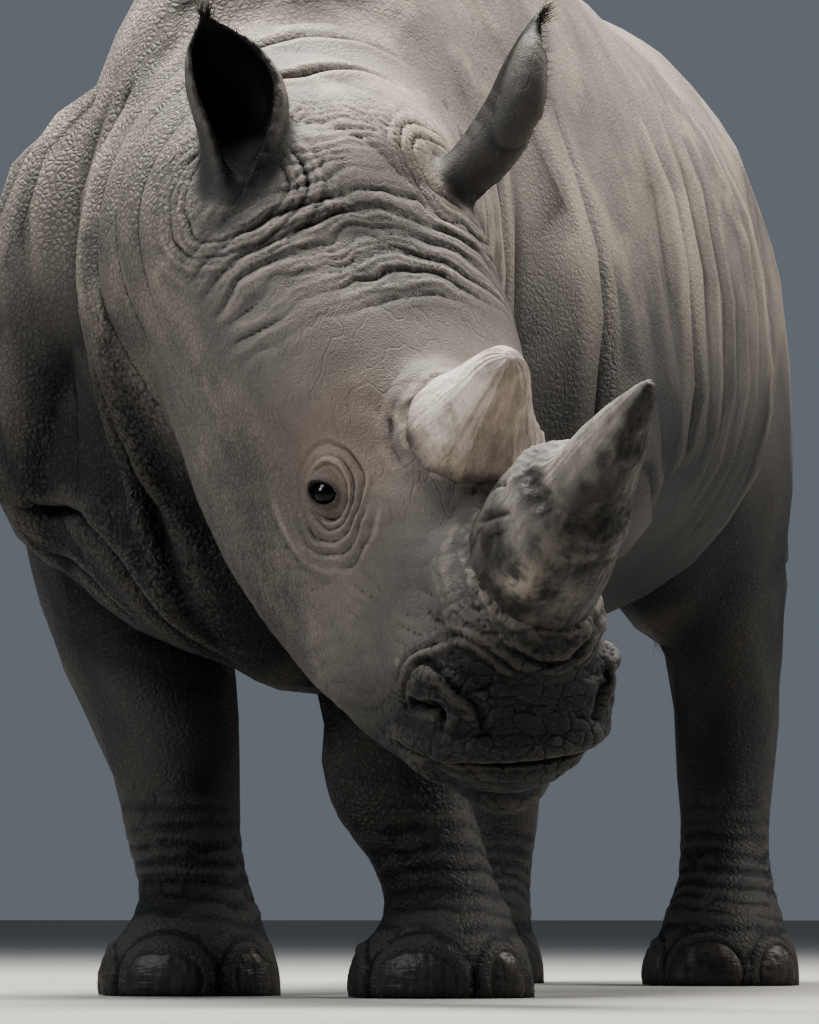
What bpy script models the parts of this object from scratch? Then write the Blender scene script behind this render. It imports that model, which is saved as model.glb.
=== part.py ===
"""A standing white rhinoceros with its head lowered and turned to its left: a still, life-size model.

Metres, +Z up. The animal faces -Y, so its left side is +X. The origin is on the floor, under the middle
of the model's box. The flesh is one form: lofted tubes and rounded masses that voxel remeshes weld and
soften. Flat-sided blocks then part it into head, neck, trunk, tail, legs and ears, with a thin gap
between neighbours. Eyes, horns and nails are solids of their own, each seated in a fitted socket.
"""

import math
from dataclasses import dataclass

import bmesh
import bpy
import numpy as np
from mathutils import Matrix, Vector

LEFT, RIGHT = 1, -1
SIDES = {"left": LEFT, "right": RIGHT}

# Fineness of the form and of the finished solids.
COARSE_VOXEL = 0.016
FINE_VOXEL = 0.008
RING_SIDES = 40
HORN_SIDES = 18
FORM_TRIANGLES = 3500
HEAD_THINNING, FOOT_THINNING, EAR_THINNING = 0.34, 0.6, 0.12
HEAD_REACH, EAR_REACH = 0.58, 0.20
TAIL_START, FOOT_HEIGHT = 1.24, 0.16
GAP = 0.0004
CRUMB = 40

# The head's pose: its frame has X towards the lips, Y to the animal's left and Z out of the forehead,
# and its origin lies midway between the eyes.
HEAD_PLACE = Vector((0.378, -1.552, 0.690))
HEAD_YAW = math.radians(54.0)
HEAD_PITCH = math.radians(56.5)
HEAD_ROLL = math.radians(15.0)

# Where the feet stand.
FOREFEET = {LEFT: (0.21, -0.86), RIGHT: (-0.20, -0.74)}
HINDFEET = {LEFT: (0.230, 0.73), RIGHT: (-0.235, 0.93)}
KNEES = {LEFT: (0.130, -0.87, 0.34), RIGHT: (-0.245, -0.72, 0.36)}
BELOW_FLOOR = -0.05

EYE_RADIUS = 0.024
EYE_PLACE = (0.014, 0.149, 0.009)
MOUTH_SLOPE = 45.0
MOUTH_DEPTH = 0.175

HEAD = (
    Matrix.Translation(HEAD_PLACE)
    @ Matrix.Rotation(math.radians(-90) + HEAD_YAW, 4, "Z")
    @ Matrix.Rotation(HEAD_PITCH, 4, "Y")
    @ Matrix.Rotation(HEAD_ROLL, 4, "X")
)


def turned(place, degrees, axis, frame=None):
    """A frame at a place, turned about one of its own axes."""
    start = frame or Matrix.Identity(4)
    return start @ Matrix.Translation(Vector(place)) @ Matrix.Rotation(math.radians(degrees), 4, axis)


# The plane that parts the head from the neck, from behind the ears down to behind the jaw.
HEAD_CUT = turned((-0.36, 0, 0), -27, "Y", HEAD)


@dataclass
class Ring:
    """One cross-section: centre, half-width, reach up and down, pull-in of the top, and squareness."""

    at: tuple
    width: float
    up: float
    down: float
    taper: float = 0.0
    square: float = 2.1


def spline(values, count):
    """A Catmull-Rom curve through rows of numbers, read at count even steps."""
    rows = np.array(values, float)
    padded = np.vstack([2 * rows[0] - rows[1], rows, 2 * rows[-1] - rows[-2]])
    place = np.linspace(0, len(rows) - 1, count)
    span = np.minimum(place.astype(int), len(rows) - 2)
    t = (place - span)[:, None]
    a, b, c, d = (padded[span + k] for k in range(4))
    return 0.5 * (2 * b + (c - a) * t + (2 * a - 5 * b + 4 * c - d) * t**2 + (3 * b - a - 3 * c + d) * t**3)


class Form:
    """Closed shells collected into one mesh."""

    def __init__(self, frame=None):
        self.mesh = bmesh.new()
        self.frame = frame or Matrix.Identity(4)

    def loft(self, rings, up=(0, 0, 1), steps=6, sides=RING_SIDES):
        """A tube through the rings, whose up and down reach along the direction up."""
        rows = [[*r.at, r.width, r.up, r.down, r.taper, r.square] for r in rings]
        rows = spline(rows, steps * (len(rings) - 1) + 1)
        tangents = np.gradient(rows[:, :3], axis=0)
        turns = np.linspace(0, 2 * math.pi, sides, endpoint=False)
        cos, sin = np.cos(turns), np.sin(turns)
        loops = []
        for row, tangent in zip(rows, tangents):
            across = np.cross(tangent, up)
            across /= np.linalg.norm(across)
            upward = np.cross(across, tangent)
            upward /= np.linalg.norm(upward)
            width, above, below, taper, square = row[3:]
            power = 2 / square
            x = width * np.sign(cos) * np.abs(cos) ** power * (1 - taper * sin)
            z = np.where(sin > 0, above, below) * np.sign(sin) * np.abs(sin) ** power
            points = row[:3] + np.outer(x, across) + np.outer(z, upward)
            loops.append([self.mesh.verts.new(self.frame @ Vector(p)) for p in points])
        for first, second in zip(loops, loops[1:]):
            for k in range(sides):
                n = (k + 1) % sides
                self.mesh.faces.new((first[k], first[n], second[n], second[k]))
        self.mesh.faces.new(loops[0][::-1])
        self.mesh.faces.new(loops[-1])

    def ball(self, at, radii, turn=(0, 0, 0), rounds=(48, 32)):
        """An ellipsoid, turned by Euler angles in degrees."""
        shape = self.frame @ Matrix.Translation(Vector(at))
        for angle, axis in zip(turn, "XYZ"):
            shape = shape @ Matrix.Rotation(math.radians(angle), 4, axis)
        shape = shape @ Matrix.Diagonal((*radii, 1))
        around, along = rounds
        bmesh.ops.create_uvsphere(self.mesh, u_segments=around, v_segments=along, radius=1, matrix=shape)

    def grid(self, layers):
        """A closed shell between the two faces of a bent sheet, each a list of rows of points."""
        place = self.frame
        add = self.mesh.verts.new
        outer, inner = ([[add(place @ Vector(p)) for p in row] for row in layer] for layer in layers)
        last, end = len(outer) - 1, len(outer[0]) - 1
        faces = self.mesh.faces
        for i in range(last):
            for j in range(end):
                faces.new((outer[i][j], outer[i][j + 1], outer[i + 1][j + 1], outer[i + 1][j]))
                faces.new((inner[i][j], inner[i + 1][j], inner[i + 1][j + 1], inner[i][j + 1]))
            faces.new((outer[i][0], outer[i + 1][0], inner[i + 1][0], inner[i][0]))
            faces.new((outer[i][end], inner[i][end], inner[i + 1][end], outer[i + 1][end]))
        for j in range(end):
            faces.new((outer[0][j], inner[0][j], inner[0][j + 1], outer[0][j + 1]))
            faces.new((outer[last][j], outer[last][j + 1], inner[last][j + 1], inner[last][j]))

    def finish(self, name):
        """The collected shells as an object."""
        bmesh.ops.recalc_face_normals(self.mesh, faces=self.mesh.faces)
        data = bpy.data.meshes.new(name)
        self.mesh.to_mesh(data)
        self.mesh.free()
        obj = bpy.data.objects.new(name, data)
        bpy.context.scene.collection.objects.link(obj)
        return obj


def apply_modifiers(obj):
    """Turn an object's modifiers into plain mesh."""
    graph = bpy.context.evaluated_depsgraph_get()
    data = bpy.data.meshes.new_from_object(obj.evaluated_get(graph))
    obj.modifiers.clear()
    obj.data = data


def weld(obj, voxel, smoothing):
    """Weld overlapping shells into one skin and soften the joins."""
    remesh = obj.modifiers.new("weld", "REMESH")
    remesh.mode = "VOXEL"
    remesh.voxel_size = voxel
    smooth = obj.modifiers.new("soften", "SMOOTH")
    smooth.factor = 0.5
    smooth.iterations = smoothing
    apply_modifiers(obj)


# ---------------------------------------------------------------- trunk and neck
TRUNK = [
    # y, top, bottom, height of the widest line, half-width, pull-in of the top
    (-1.14, 1.30, 0.60, 0.96, 0.24, 0.00),
    (-1.02, 1.54, 0.47, 0.93, 0.33, 0.12),
    (-0.82, 1.70, 0.50, 0.92, 0.43, 0.30),
    (-0.50, 1.69, 0.55, 0.93, 0.455, 0.20),
    (-0.12, 1.60, 0.56, 0.97, 0.45, 0.08),
    (0.25, 1.57, 0.57, 1.00, 0.42, 0.05),
    (0.58, 1.60, 0.66, 1.05, 0.35, 0.05),
    (0.88, 1.57, 0.80, 1.10, 0.31, 0.10),
    (1.08, 1.46, 0.92, 1.13, 0.24, 0.08),
    (1.22, 1.28, 1.00, 1.13, 0.12, 0.00),
]


def add_trunk(form):
    """Barrel, withers, shoulder blades and haunches."""
    form.loft([Ring((0, y, mid), half, top - mid, mid - low, pull) for y, top, low, mid, half, pull in TRUNK])
    form.ball((0.02, -0.80, 1.33), (0.18, 0.42, 0.39))
    form.ball((-0.33, -0.92, 1.02), (0.105, 0.22, 0.22))
    form.ball((-0.335, -0.92, 0.86), (0.105, 0.22, 0.26))
    form.ball((-0.252, -0.99, 1.04), (0.140, 0.20, 0.24))
    for side in SIDES.values():
        form.ball((side * 0.29, -0.70, 1.00), (0.15, 0.28, 0.40), (8, -14 * side, 0))
        form.ball((side * 0.33, -0.72, 0.84), (0.13, 0.21, 0.24))
        form.ball((side * 0.16, 0.70, 0.98), (0.155, 0.29, 0.42), (-8, 0, 0))
        form.ball((side * 0.12, 0.92, 1.08), (0.15, 0.25, 0.34))


def add_neck(form):
    """The thick neck from the withers and the brisket up to the nape."""
    form.loft(
        [
            Ring((0.0, -0.66, 1.10), 0.36, 0.52, 0.50, 0.2),
            Ring((0.01, -0.90, 1.08), 0.34, 0.52, 0.52, 0.2),
            Ring((0.06, -1.13, 1.03), 0.295, 0.40, 0.44, 0.12),
            Ring(HEAD @ Vector((-0.44, 0, -0.08)), 0.24, 0.22, 0.27),
            Ring(HEAD @ Vector((-0.25, 0, -0.08)), 0.19, 0.18, 0.24),
        ]
    )
    form.ball((0.02, -0.98, 0.60), (0.12, 0.20, 0.17))


# ---------------------------------------------------------------- legs and tail
def add_foreleg(form, side):
    """Upper arm, knee, cannon and the spread foot."""
    x, y = FOREFEET[side]
    knee = Vector(KNEES[side])
    form.loft(
        [
            Ring((side * 0.29, -0.74, 1.00), 0.13, 0.22, 0.20),
            Ring((side * 0.33, -0.71, 0.78), 0.145, 0.18, 0.18),
            Ring((knee.x * 0.8 + side * 0.112, knee.y + 0.03, 0.56), 0.130, 0.135, 0.135),
            Ring(knee, 0.098, 0.106, 0.104),
            Ring((0.5 * (x + knee.x), y + 0.01, 0.23), 0.083, 0.090, 0.092),
            Ring((x * 0.85 + knee.x * 0.15, y + 0.01, 0.145), 0.082, 0.088, 0.090),
            Ring((x, y, 0.085), 0.108, 0.120, 0.105),
            Ring((x, y - 0.015, 0.035), 0.130, 0.146, 0.112),
            Ring((x, y - 0.015, BELOW_FLOOR), 0.128, 0.142, 0.110),
        ],
        up=(0, -1, 0),
    )


def add_hindleg(form, side):
    """Thigh, hock, cannon and the spread foot."""
    x, y = HINDFEET[side]
    form.loft(
        [
            Ring((side * 0.16, 0.80, 1.12), 0.14, 0.30, 0.32),
            Ring((side * 0.19, 0.78, 0.88), 0.14, 0.25, 0.28),
            Ring((side * 0.215, 0.5 * (y + 0.82), 0.67), 0.110, 0.165, 0.165),
            Ring((x - side * 0.004, y + 0.07, 0.46), 0.086, 0.103, 0.118),
            Ring((x - side * 0.006, y + 0.06, 0.30), 0.079, 0.086, 0.094),
            Ring((x, y + 0.03, 0.17), 0.079, 0.084, 0.086),
            Ring((x + side * 0.006, y, 0.095), 0.104, 0.112, 0.100),
            Ring((x + side * 0.010, y - 0.015, 0.040), 0.126, 0.140, 0.110),
            Ring((x + side * 0.010, y - 0.015, BELOW_FLOOR), 0.124, 0.136, 0.108),
        ],
        up=(0, -1, 0),
    )


TAIL = [
    Ring((0, 1.10, 1.30), 0.075, 0.07, 0.07),
    Ring((0, 1.235, 1.22), 0.050, 0.045, 0.045),
    Ring((0, 1.282, 1.06), 0.036, 0.034, 0.034),
    Ring((0.005, 1.275, 0.90), 0.029, 0.027, 0.027),
    Ring((0.01, 1.262, 0.78), 0.024, 0.022, 0.022),
    Ring((0.01, 1.260, 0.70), 0.030, 0.016, 0.016),
    Ring((0.01, 1.260, 0.62), 0.016, 0.010, 0.010),
]

# ---------------------------------------------------------------- head
SKULL = [
    # x, top, bottom, height of the widest line, half-width, squareness
    (-0.52, 0.08, -0.26, -0.06, 0.17, 2.3),
    (-0.40, 0.12, -0.32, -0.06, 0.222, 2.5),
    (-0.28, 0.125, -0.37, -0.07, 0.220, 2.5),
    (-0.12, 0.12, -0.40, -0.09, 0.205, 2.6),
    (0.04, 0.125, -0.375, -0.09, 0.166, 2.7),
    (0.16, 0.125, -0.305, -0.08, 0.146, 2.7),
    (0.26, 0.12, -0.245, -0.06, 0.130, 2.6),
    (0.34, 0.09, -0.195, -0.05, 0.128, 2.5),
    (0.40, 0.045, -0.15, -0.05, 0.112, 2.4),
    (0.435, 0.0, -0.10, -0.05, 0.08, 2.2),
]


def add_skull(form):
    """The wedge of the head from the nape to the lips."""
    rings = []
    for x, top, low, mid, half, square in SKULL:
        rings.append(Ring((x, 0, mid), half, top - mid, mid - low, 0, square))
    form.loft(rings)


def add_face(form):
    """The bosses under the horns, brows, cheeks, nostrils and lips."""
    form.ball((0.010, 0, 0.095), (0.13, 0.092, 0.05))
    form.ball((0.250, 0, 0.090), (0.135, 0.110, 0.07))
    form.ball((0.375, 0, -0.050), (0.080, 0.120, 0.078))
    form.ball((0.372, 0.018, -0.145), (0.065, 0.072, 0.040))
    for side in SIDES.values():
        form.ball((-0.005, side * 0.121, 0.020), (0.075, 0.042, 0.05), (0, 0, side * -8))
        form.ball((0.325, side * 0.092, -0.008), (0.075, 0.045, 0.055))


@dataclass
class Ear:
    """One ear: where it stands, where its tip points, which way it opens, its bow and its tip's bend."""

    root: tuple
    axis: tuple
    opening: tuple
    bow: tuple
    bend: tuple
    length: float = 0.285
    depth: float = 0.85


EARS = {
    "right": Ear(
        (-0.405, -0.150, 0.05), (-0.07, 0.06, 1.0), (0.30, -0.95, 0.05), (0.018, 0.005, 0.0), (-0.03, 0, 0)
    ),
    "left": Ear(
        (-0.405, 0.150, 0.05), (0.72, 0.12, 0.72), (0.80, 0.30, -0.52), (0.012, 0, -0.010),
        (-0.078, 0, 0.040), 0.305, 0.78
    ),
}
EAR_WALL = 0.014
EAR_PROFILE = [
    # share of length, radius, half-opening of the rolled sheet in degrees
    (0.00, 0.047, 179),
    (0.13, 0.046, 174),
    (0.26, 0.051, 152),
    (0.42, 0.060, 132),
    (0.62, 0.067, 117),
    (0.80, 0.053, 104),
    (0.90, 0.031, 94),
    (1.00, 0.008, 84),
]
EAR_CUT = 0.27
EAR_MARGIN = 0.012


def ear_frame(ear):
    """The ear's own directions: along it, across its opening, and out of its opening."""
    axis = Vector(ear.axis).normalized()
    opening = Vector(ear.opening)
    opening = (opening - axis * opening.dot(axis)).normalized()
    return axis, axis.cross(opening), opening


def ear_centre(ear, share):
    """A point on the ear's middle line, at a share of its length."""
    straight = HEAD @ Vector(ear.root) + ear_frame(ear)[0] * (share * ear.length)
    return straight + Vector(ear.bend) * share**3 + Vector(ear.bow) * (4 * share * (1 - share))


def add_ear(form, ear):
    """A rolled sheet: a tube at its root that opens into a pointed cup."""
    _, across, opening = ear_frame(ear)
    outer, inner = [], []
    for share, radius, half in spline(EAR_PROFILE, 30):
        centre = ear_centre(ear, share)
        wall = min(EAR_WALL, radius * 0.7)
        angles = math.pi + np.linspace(-1, 1, 33) * math.radians(min(half, 179))
        for layer, size in ((outer, radius), (inner, radius - wall)):
            deep, wide = opening * (size * ear.depth), across * size
            layer.append([centre + deep * math.cos(a) + wide * math.sin(a) for a in angles])
    form.grid((outer, inner))


def ear_envelope(ear, grow=0.0):
    """A closed hull a little larger than the ear above the cut at its root."""
    rings = []
    margin = EAR_MARGIN + grow
    for share in np.linspace(EAR_CUT - grow / ear.length, 1.08, 12):
        radius = np.interp(share, [row[0] for row in EAR_PROFILE], [row[1] for row in EAR_PROFILE])
        reach = radius * ear.depth + margin
        rings.append(Ring(ear_centre(ear, share), radius + margin, reach, reach))
    form = Form()
    form.loft(rings, up=ear_frame(ear)[2], steps=1, sides=20)
    return form.finish("envelope")


# ---------------------------------------------------------------- feet
@dataclass
class Toe:
    """One nail on a foot: its bearing round the foot from the front, and its half-width and height."""

    name: str
    bearing: float
    width: float
    height: float


TOES = (Toe("outer", 58, 0.047, 0.052), Toe("middle", 0, 0.062, 0.058), Toe("inner", -58, 0.047, 0.052))
TOE_REACH = (0.118, 0.128)
NAIL_DEPTH = 0.026
NAIL_CENTRE = 0.020
NAIL_BOTTOM = 0.0015


def foot_centres():
    """Each foot's name, side and the middle of its sole."""
    for word, side in SIDES.items():
        x, y = FOREFEET[side]
        yield f"front_{word}", side, Vector((x, y - 0.015, 0))
        x, y = HINDFEET[side]
        yield f"hind_{word}", side, Vector((x + side * 0.010, y - 0.015, 0))


def toe_frame(centre, side, toe):
    """A frame on the rim of the foot with Y pointing straight out of the toe."""
    bearing = math.radians(toe.bearing) * side
    out = Vector((math.sin(bearing) * TOE_REACH[0], -math.cos(bearing) * TOE_REACH[1], 0))
    return Matrix.Translation(centre + out) @ Matrix.Rotation(bearing + math.pi, 4, "Z")


def add_toes(form):
    """The fleshy pads that carry the nails."""
    for _, side, centre in foot_centres():
        for toe in TOES:
            form.frame = toe_frame(centre, side, toe)
            form.ball((0, -0.028, 0.022), (toe.width + 0.004, 0.040, toe.height + 0.012))


def nail(name, centre, side, toe, grow=0.0):
    """A domed nail, flat underneath, or its socket when grown by a gap."""
    form = Form(toe_frame(centre, side, toe))
    radii = (toe.width, NAIL_DEPTH, toe.height - NAIL_CENTRE + 0.018)
    form.ball((0, -0.006, NAIL_CENTRE), [radius + grow for radius in radii], rounds=(12, 6))
    obj = form.finish(name)
    if not grow:
        cut(obj, "INTERSECT", block(Matrix.Translation((0, 0, NAIL_BOTTOM + 1)), (4, 4, 2)))
    return obj


# ---------------------------------------------------------------- welding
def build_form():
    """The whole flesh: softened masses, then the face, ears and toes, welded into one skin."""
    body = Form()
    add_trunk(body)
    add_neck(body)
    for side in SIDES.values():
        add_foreleg(body, side)
        add_hindleg(body, side)
    body.frame = HEAD
    add_skull(body)
    masses = body.finish("masses")
    weld(masses, COARSE_VOXEL, 14)

    whole = Form()
    whole.loft(TAIL, up=(0, -1, 0))
    for ear in EARS.values():
        add_ear(whole, ear)
    add_toes(whole)
    whole.frame = HEAD
    add_face(whole)
    whole.mesh.from_mesh(masses.data)
    bpy.data.objects.remove(masses)
    flesh = whole.finish("flesh")
    weld(flesh, FINE_VOXEL, 10)
    return flesh


def thin_out(obj):
    """Fewer triangles, kept closest together on the ears, then the head and tail, then the feet."""
    points = np.empty(3 * len(obj.data.vertices), dtype=np.float32)
    obj.data.vertices.foreach_get("co", points)
    points = points.reshape(-1, 3)
    head = np.linalg.norm(points - np.array(HEAD_PLACE), axis=1) < HEAD_REACH
    tail = points[:, 1] > TAIL_START
    feet = points[:, 2] < FOOT_HEIGHT
    thinning = np.where(head | tail, HEAD_THINNING, np.where(feet, FOOT_THINNING, 1.0))
    for ear in EARS.values():
        middle = np.array(ear_centre(ear, 0.6))
        thinning[np.linalg.norm(points - middle, axis=1) < EAR_REACH] = EAR_THINNING
    group = obj.vertex_groups.new(name="thinning")
    for weight in np.unique(thinning):
        group.add(np.flatnonzero(thinning == weight).tolist(), float(weight), "REPLACE")
    decimate = obj.modifiers.new("thin", "DECIMATE")
    decimate.ratio = FORM_TRIANGLES / (2 * len(obj.data.polygons))
    decimate.vertex_group = group.name
    apply_modifiers(obj)


# ---------------------------------------------------------------- parting
def block(frame, size):
    """A box of the given size about its frame's origin."""
    mesh = bmesh.new()
    bmesh.ops.create_cube(mesh, size=1, matrix=frame @ Matrix.Diagonal((*size, 1)))
    return solid("block", mesh)


def prism(outline, near, far, grow=0.0):
    """A block with an outline in XZ, drawn out along Y from near to far, and grown by a gap."""
    corners = [Vector((x, 0, z)) for x, z in outline]
    centre = sum(corners, Vector()) / len(corners)
    mesh = bmesh.new()
    ends = []
    for y in (near - grow, far + grow):
        ring = [corner + (corner - centre).normalized() * 2 * grow + Vector((0, y, 0)) for corner in corners]
        ends.append([mesh.verts.new(p) for p in ring])
    first, second = ends
    for k in range(len(corners)):
        n = (k + 1) % len(corners)
        mesh.faces.new((first[k], first[n], second[n], second[k]))
    mesh.faces.new(first[::-1])
    mesh.faces.new(second)
    bmesh.ops.recalc_face_normals(mesh, faces=mesh.faces)
    return solid("block", mesh)


def solid(name, mesh):
    """An object from a bmesh."""
    data = bpy.data.meshes.new(name)
    mesh.to_mesh(data)
    mesh.free()
    obj = bpy.data.objects.new(name, data)
    bpy.context.scene.collection.objects.link(obj)
    return obj


def cut(obj, operation, cutter):
    """Apply a Boolean with a cutter, then drop the cutter."""
    boolean = obj.modifiers.new(operation.lower(), "BOOLEAN")
    boolean.operation = operation
    boolean.object = cutter
    apply_modifiers(obj)
    bpy.data.objects.remove(cutter)


def drop_crumbs(obj):
    """Delete the stray flakes that a cut can leave beside the main body."""
    mesh = bmesh.new()
    mesh.from_mesh(obj.data)
    islands, seen = [], set()
    for seed in mesh.verts:
        if seed in seen:
            continue
        island, edge = {seed}, [seed]
        while edge:
            for link in edge.pop().link_edges:
                for vert in link.verts:
                    if vert not in island:
                        island.add(vert)
                        edge.append(vert)
        seen |= island
        islands.append(island)
    islands.sort(key=len)
    for island in islands[:-1]:
        if len(island) < CRUMB:
            bmesh.ops.delete(mesh, geom=list(island), context="VERTS")
    mesh.to_mesh(obj.data)
    mesh.free()


def part_off(obj, name, cutter, socket):
    """Take what lies in the cutter as a new object, and leave the rest clear of the socket around it."""
    piece = obj.copy()
    piece.data = obj.data.copy()
    piece.name = name
    bpy.context.scene.collection.objects.link(piece)
    cut(piece, "INTERSECT", cutter)
    cut(obj, "DIFFERENCE", socket)
    return piece


def part_with_block(obj, name, frame, size):
    """Part off what lies in a box."""
    grown = [length + 2 * GAP for length in size]
    return part_off(obj, name, block(frame, size), block(frame, grown))


FORELEG_OUTLINE = ((0.00, -0.2), (0.00, 0.34), (0.045, 0.45), (0.11, 0.56), (0.65, 0.96), (0.65, -0.2))
HINDLEG_OUTLINE = ((0.01, -0.2), (0.01, 0.60), (0.10, 0.74), (0.55, 1.12), (0.55, -0.2))
FORELEG_REACH = (-1.06, -0.46)
HINDLEG_REACH = (0.44, 1.16)


def part_legs(flesh, outline, reach, kind):
    """Part both legs of a pair with slanting cuts that rise outwards."""
    for word, side in SIDES.items():
        shape = [(side * x, z) for x, z in outline]
        part_off(flesh, f"leg_{kind}_{word}", prism(shape, *reach), prism(shape, *reach, grow=GAP))


def part_flesh(flesh):
    """Divide the flesh into named pieces. What is left at the end is the trunk."""
    cut(flesh, "INTERSECT", block(Matrix.Translation((0, 0, 2)), (8, 8, 4)))
    for word, ear in EARS.items():
        part_off(flesh, f"ear_{word}", ear_envelope(ear), ear_envelope(ear, GAP))
    head = part_with_block(flesh, "head", HEAD_CUT @ Matrix.Translation((0.60, 0, 0.03)), (1.20, 1.0, 1.42))
    part_legs(flesh, FORELEG_OUTLINE, FORELEG_REACH, "front")
    part_legs(flesh, HINDLEG_OUTLINE, HINDLEG_REACH, "hind")
    part_with_block(flesh, "tail", turned((0, 1.34, 0.80), -14, "X"), (0.30, 0.22, 0.78))
    part_with_block(flesh, "neck", turned((0, -2.02, 1.0), -9, "X"), (2.0, 2.0, 3.0))
    flesh.name = "trunk"
    return head


# ---------------------------------------------------------------- horns and eyes
HORN_FRONT = [
    # x, height, half-width, reach forward, reach back
    (0.250, 0.080, 0.080, 0.094, 0.098),
    (0.250, 0.150, 0.083, 0.096, 0.102),
    (0.252, 0.210, 0.083, 0.092, 0.100),
    (0.256, 0.262, 0.079, 0.084, 0.094),
    (0.261, 0.304, 0.071, 0.074, 0.085),
    (0.267, 0.333, 0.056, 0.062, 0.064),
    (0.271, 0.378, 0.049, 0.054, 0.054),
    (0.274, 0.430, 0.042, 0.044, 0.046),
    (0.276, 0.490, 0.030, 0.031, 0.032),
    (0.278, 0.545, 0.016, 0.017, 0.017),
    (0.279, 0.572, 0.006, 0.006, 0.006),
]
HORN_REAR = [
    (0.036, 0.080, 0.084, 0.070, 0.098),
    (0.036, 0.135, 0.084, 0.069, 0.096),
    (0.033, 0.185, 0.069, 0.058, 0.078),
    (0.029, 0.238, 0.048, 0.042, 0.053),
    (0.025, 0.282, 0.029, 0.028, 0.032),
    (0.024, 0.306, 0.009, 0.010, 0.010),
]
HORN_OFFSET = 0.009


def horn(name, table, grow=0.0):
    """A horn standing in the head's frame, or its socket when grown by a gap."""
    form = Form(HEAD)
    rings = []
    for x, z, half, front, back in table:
        rings.append(Ring((x, HORN_OFFSET, z - grow), half + grow, front + grow, back + grow))
    form.loft(rings, up=(1, 0, 0), steps=1, sides=HORN_SIDES)
    return form.finish(name)


def eye(name, side, grow=0.0):
    """An eyeball, or its socket when grown by a gap."""
    x, y, z = EYE_PLACE
    mesh = bmesh.new()
    place = HEAD @ Matrix.Translation((x, side * y, z)) @ Matrix.Rotation(math.radians(90), 4, "X")
    bmesh.ops.create_uvsphere(mesh, u_segments=12, v_segments=8, radius=EYE_RADIUS + grow, matrix=place)
    return solid(name, mesh)


def carve_face(head):
    """The nostrils and the line of the mouth."""
    for side in SIDES.values():
        hole = Form(HEAD)
        hole.ball((0.346, side * 0.126, -0.010), (0.034, 0.030, 0.011), (0, -50, side * 12), rounds=(14, 8))
        cut(head, "DIFFERENCE", hole.finish("hole"))
    mouth = turned((0.446, 0, -0.010), -MOUTH_SLOPE, "Y", HEAD)
    cut(head, "DIFFERENCE", block(mouth, (2 * MOUTH_DEPTH, 0.5, 0.006)))


# ---------------------------------------------------------------- finish
@dataclass
class Finish:
    """A plain surface: colour, roughness and metallic."""

    name: str
    colour: tuple
    roughness: float
    metallic: float = 0.0

    def material(self):
        made = bpy.data.materials.get(self.name)
        if made:
            return made
        made = bpy.data.materials.new(self.name)
        made.use_nodes = True
        shader = made.node_tree.nodes["Principled BSDF"]
        shader.inputs["Base Color"].default_value = (*self.colour, 1)
        shader.inputs["Roughness"].default_value = self.roughness
        shader.inputs["Metallic"].default_value = self.metallic
        return made


HIDE = Finish("hide", (0.165, 0.140, 0.120), 0.75)
HORN = Finish("horn", (0.260, 0.215, 0.170), 0.55)
NAIL = Finish("nail", (0.085, 0.080, 0.078), 0.50)
EYE = Finish("eye", (0.012, 0.009, 0.008), 0.08)


def dress():
    """Give every piece its finish and smooth shading with sharp cut edges."""
    for obj in bpy.data.objects:
        kind = obj.name.split("_")[0]
        finish = {"horn": HORN, "nail": NAIL, "eye": EYE}.get(kind, HIDE)
        obj.data.materials.clear()
        obj.data.materials.append(finish.material())
        obj.data.shade_smooth()
        obj.data.set_sharp_from_angle(angle=math.radians(60))


def centre_on_floor():
    """Bring the middle of the model's box over the origin."""
    points = np.array([obj.matrix_world @ Vector(c) for obj in bpy.data.objects for c in obj.bound_box])
    low, high = points.min(axis=0), points.max(axis=0)
    shift = Vector(((low[0] + high[0]) / 2, (low[1] + high[1]) / 2, 0))
    for obj in bpy.data.objects:
        obj.data.transform(Matrix.Translation(-shift))


def main():
    for obj in list(bpy.data.objects):
        bpy.data.objects.remove(obj)
    flesh = build_form()
    thin_out(flesh)
    head = part_flesh(flesh)
    carve_face(head)
    for name, table in (("horn_front", HORN_FRONT), ("horn_rear", HORN_REAR)):
        cut(head, "DIFFERENCE", horn("socket", table, GAP))
        horn(name, table)
    for word, side in SIDES.items():
        cut(head, "DIFFERENCE", eye("socket", side, GAP))
        eye(f"eye_{word}", side)
    for foot, side, centre in foot_centres():
        leg = bpy.data.objects[f"leg_{foot}"]
        for toe in TOES:
            cut(leg, "DIFFERENCE", nail("socket", centre, side, toe, GAP))
            nail(f"nail_{foot}_{toe.name}", centre, side, toe)
    for obj in bpy.data.objects:
        drop_crumbs(obj)
    dress()
    centre_on_floor()


main()
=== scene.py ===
"""The looks of a life-size white rhinoceros: wrinkled hide, fibrous horns, worn nails, wet eyes and bristles.

Metres, +Z up. Shapes are laid out in the build frame, in which the animal faces -Y with its left side at +X,
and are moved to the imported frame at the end. The head's own frame has X towards the lips, Y to the animal's
left and Z out of the forehead, with its origin midway between the eyes.
"""

import logging
import math
from collections.abc import Callable, Iterable, Iterator, Sequence
from contextlib import contextmanager
from dataclasses import dataclass, field
from enum import Enum

import bmesh
import bpy
import numpy as np
from mathutils import Euler, Matrix, Vector
from mathutils.kdtree import KDTree


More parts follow.
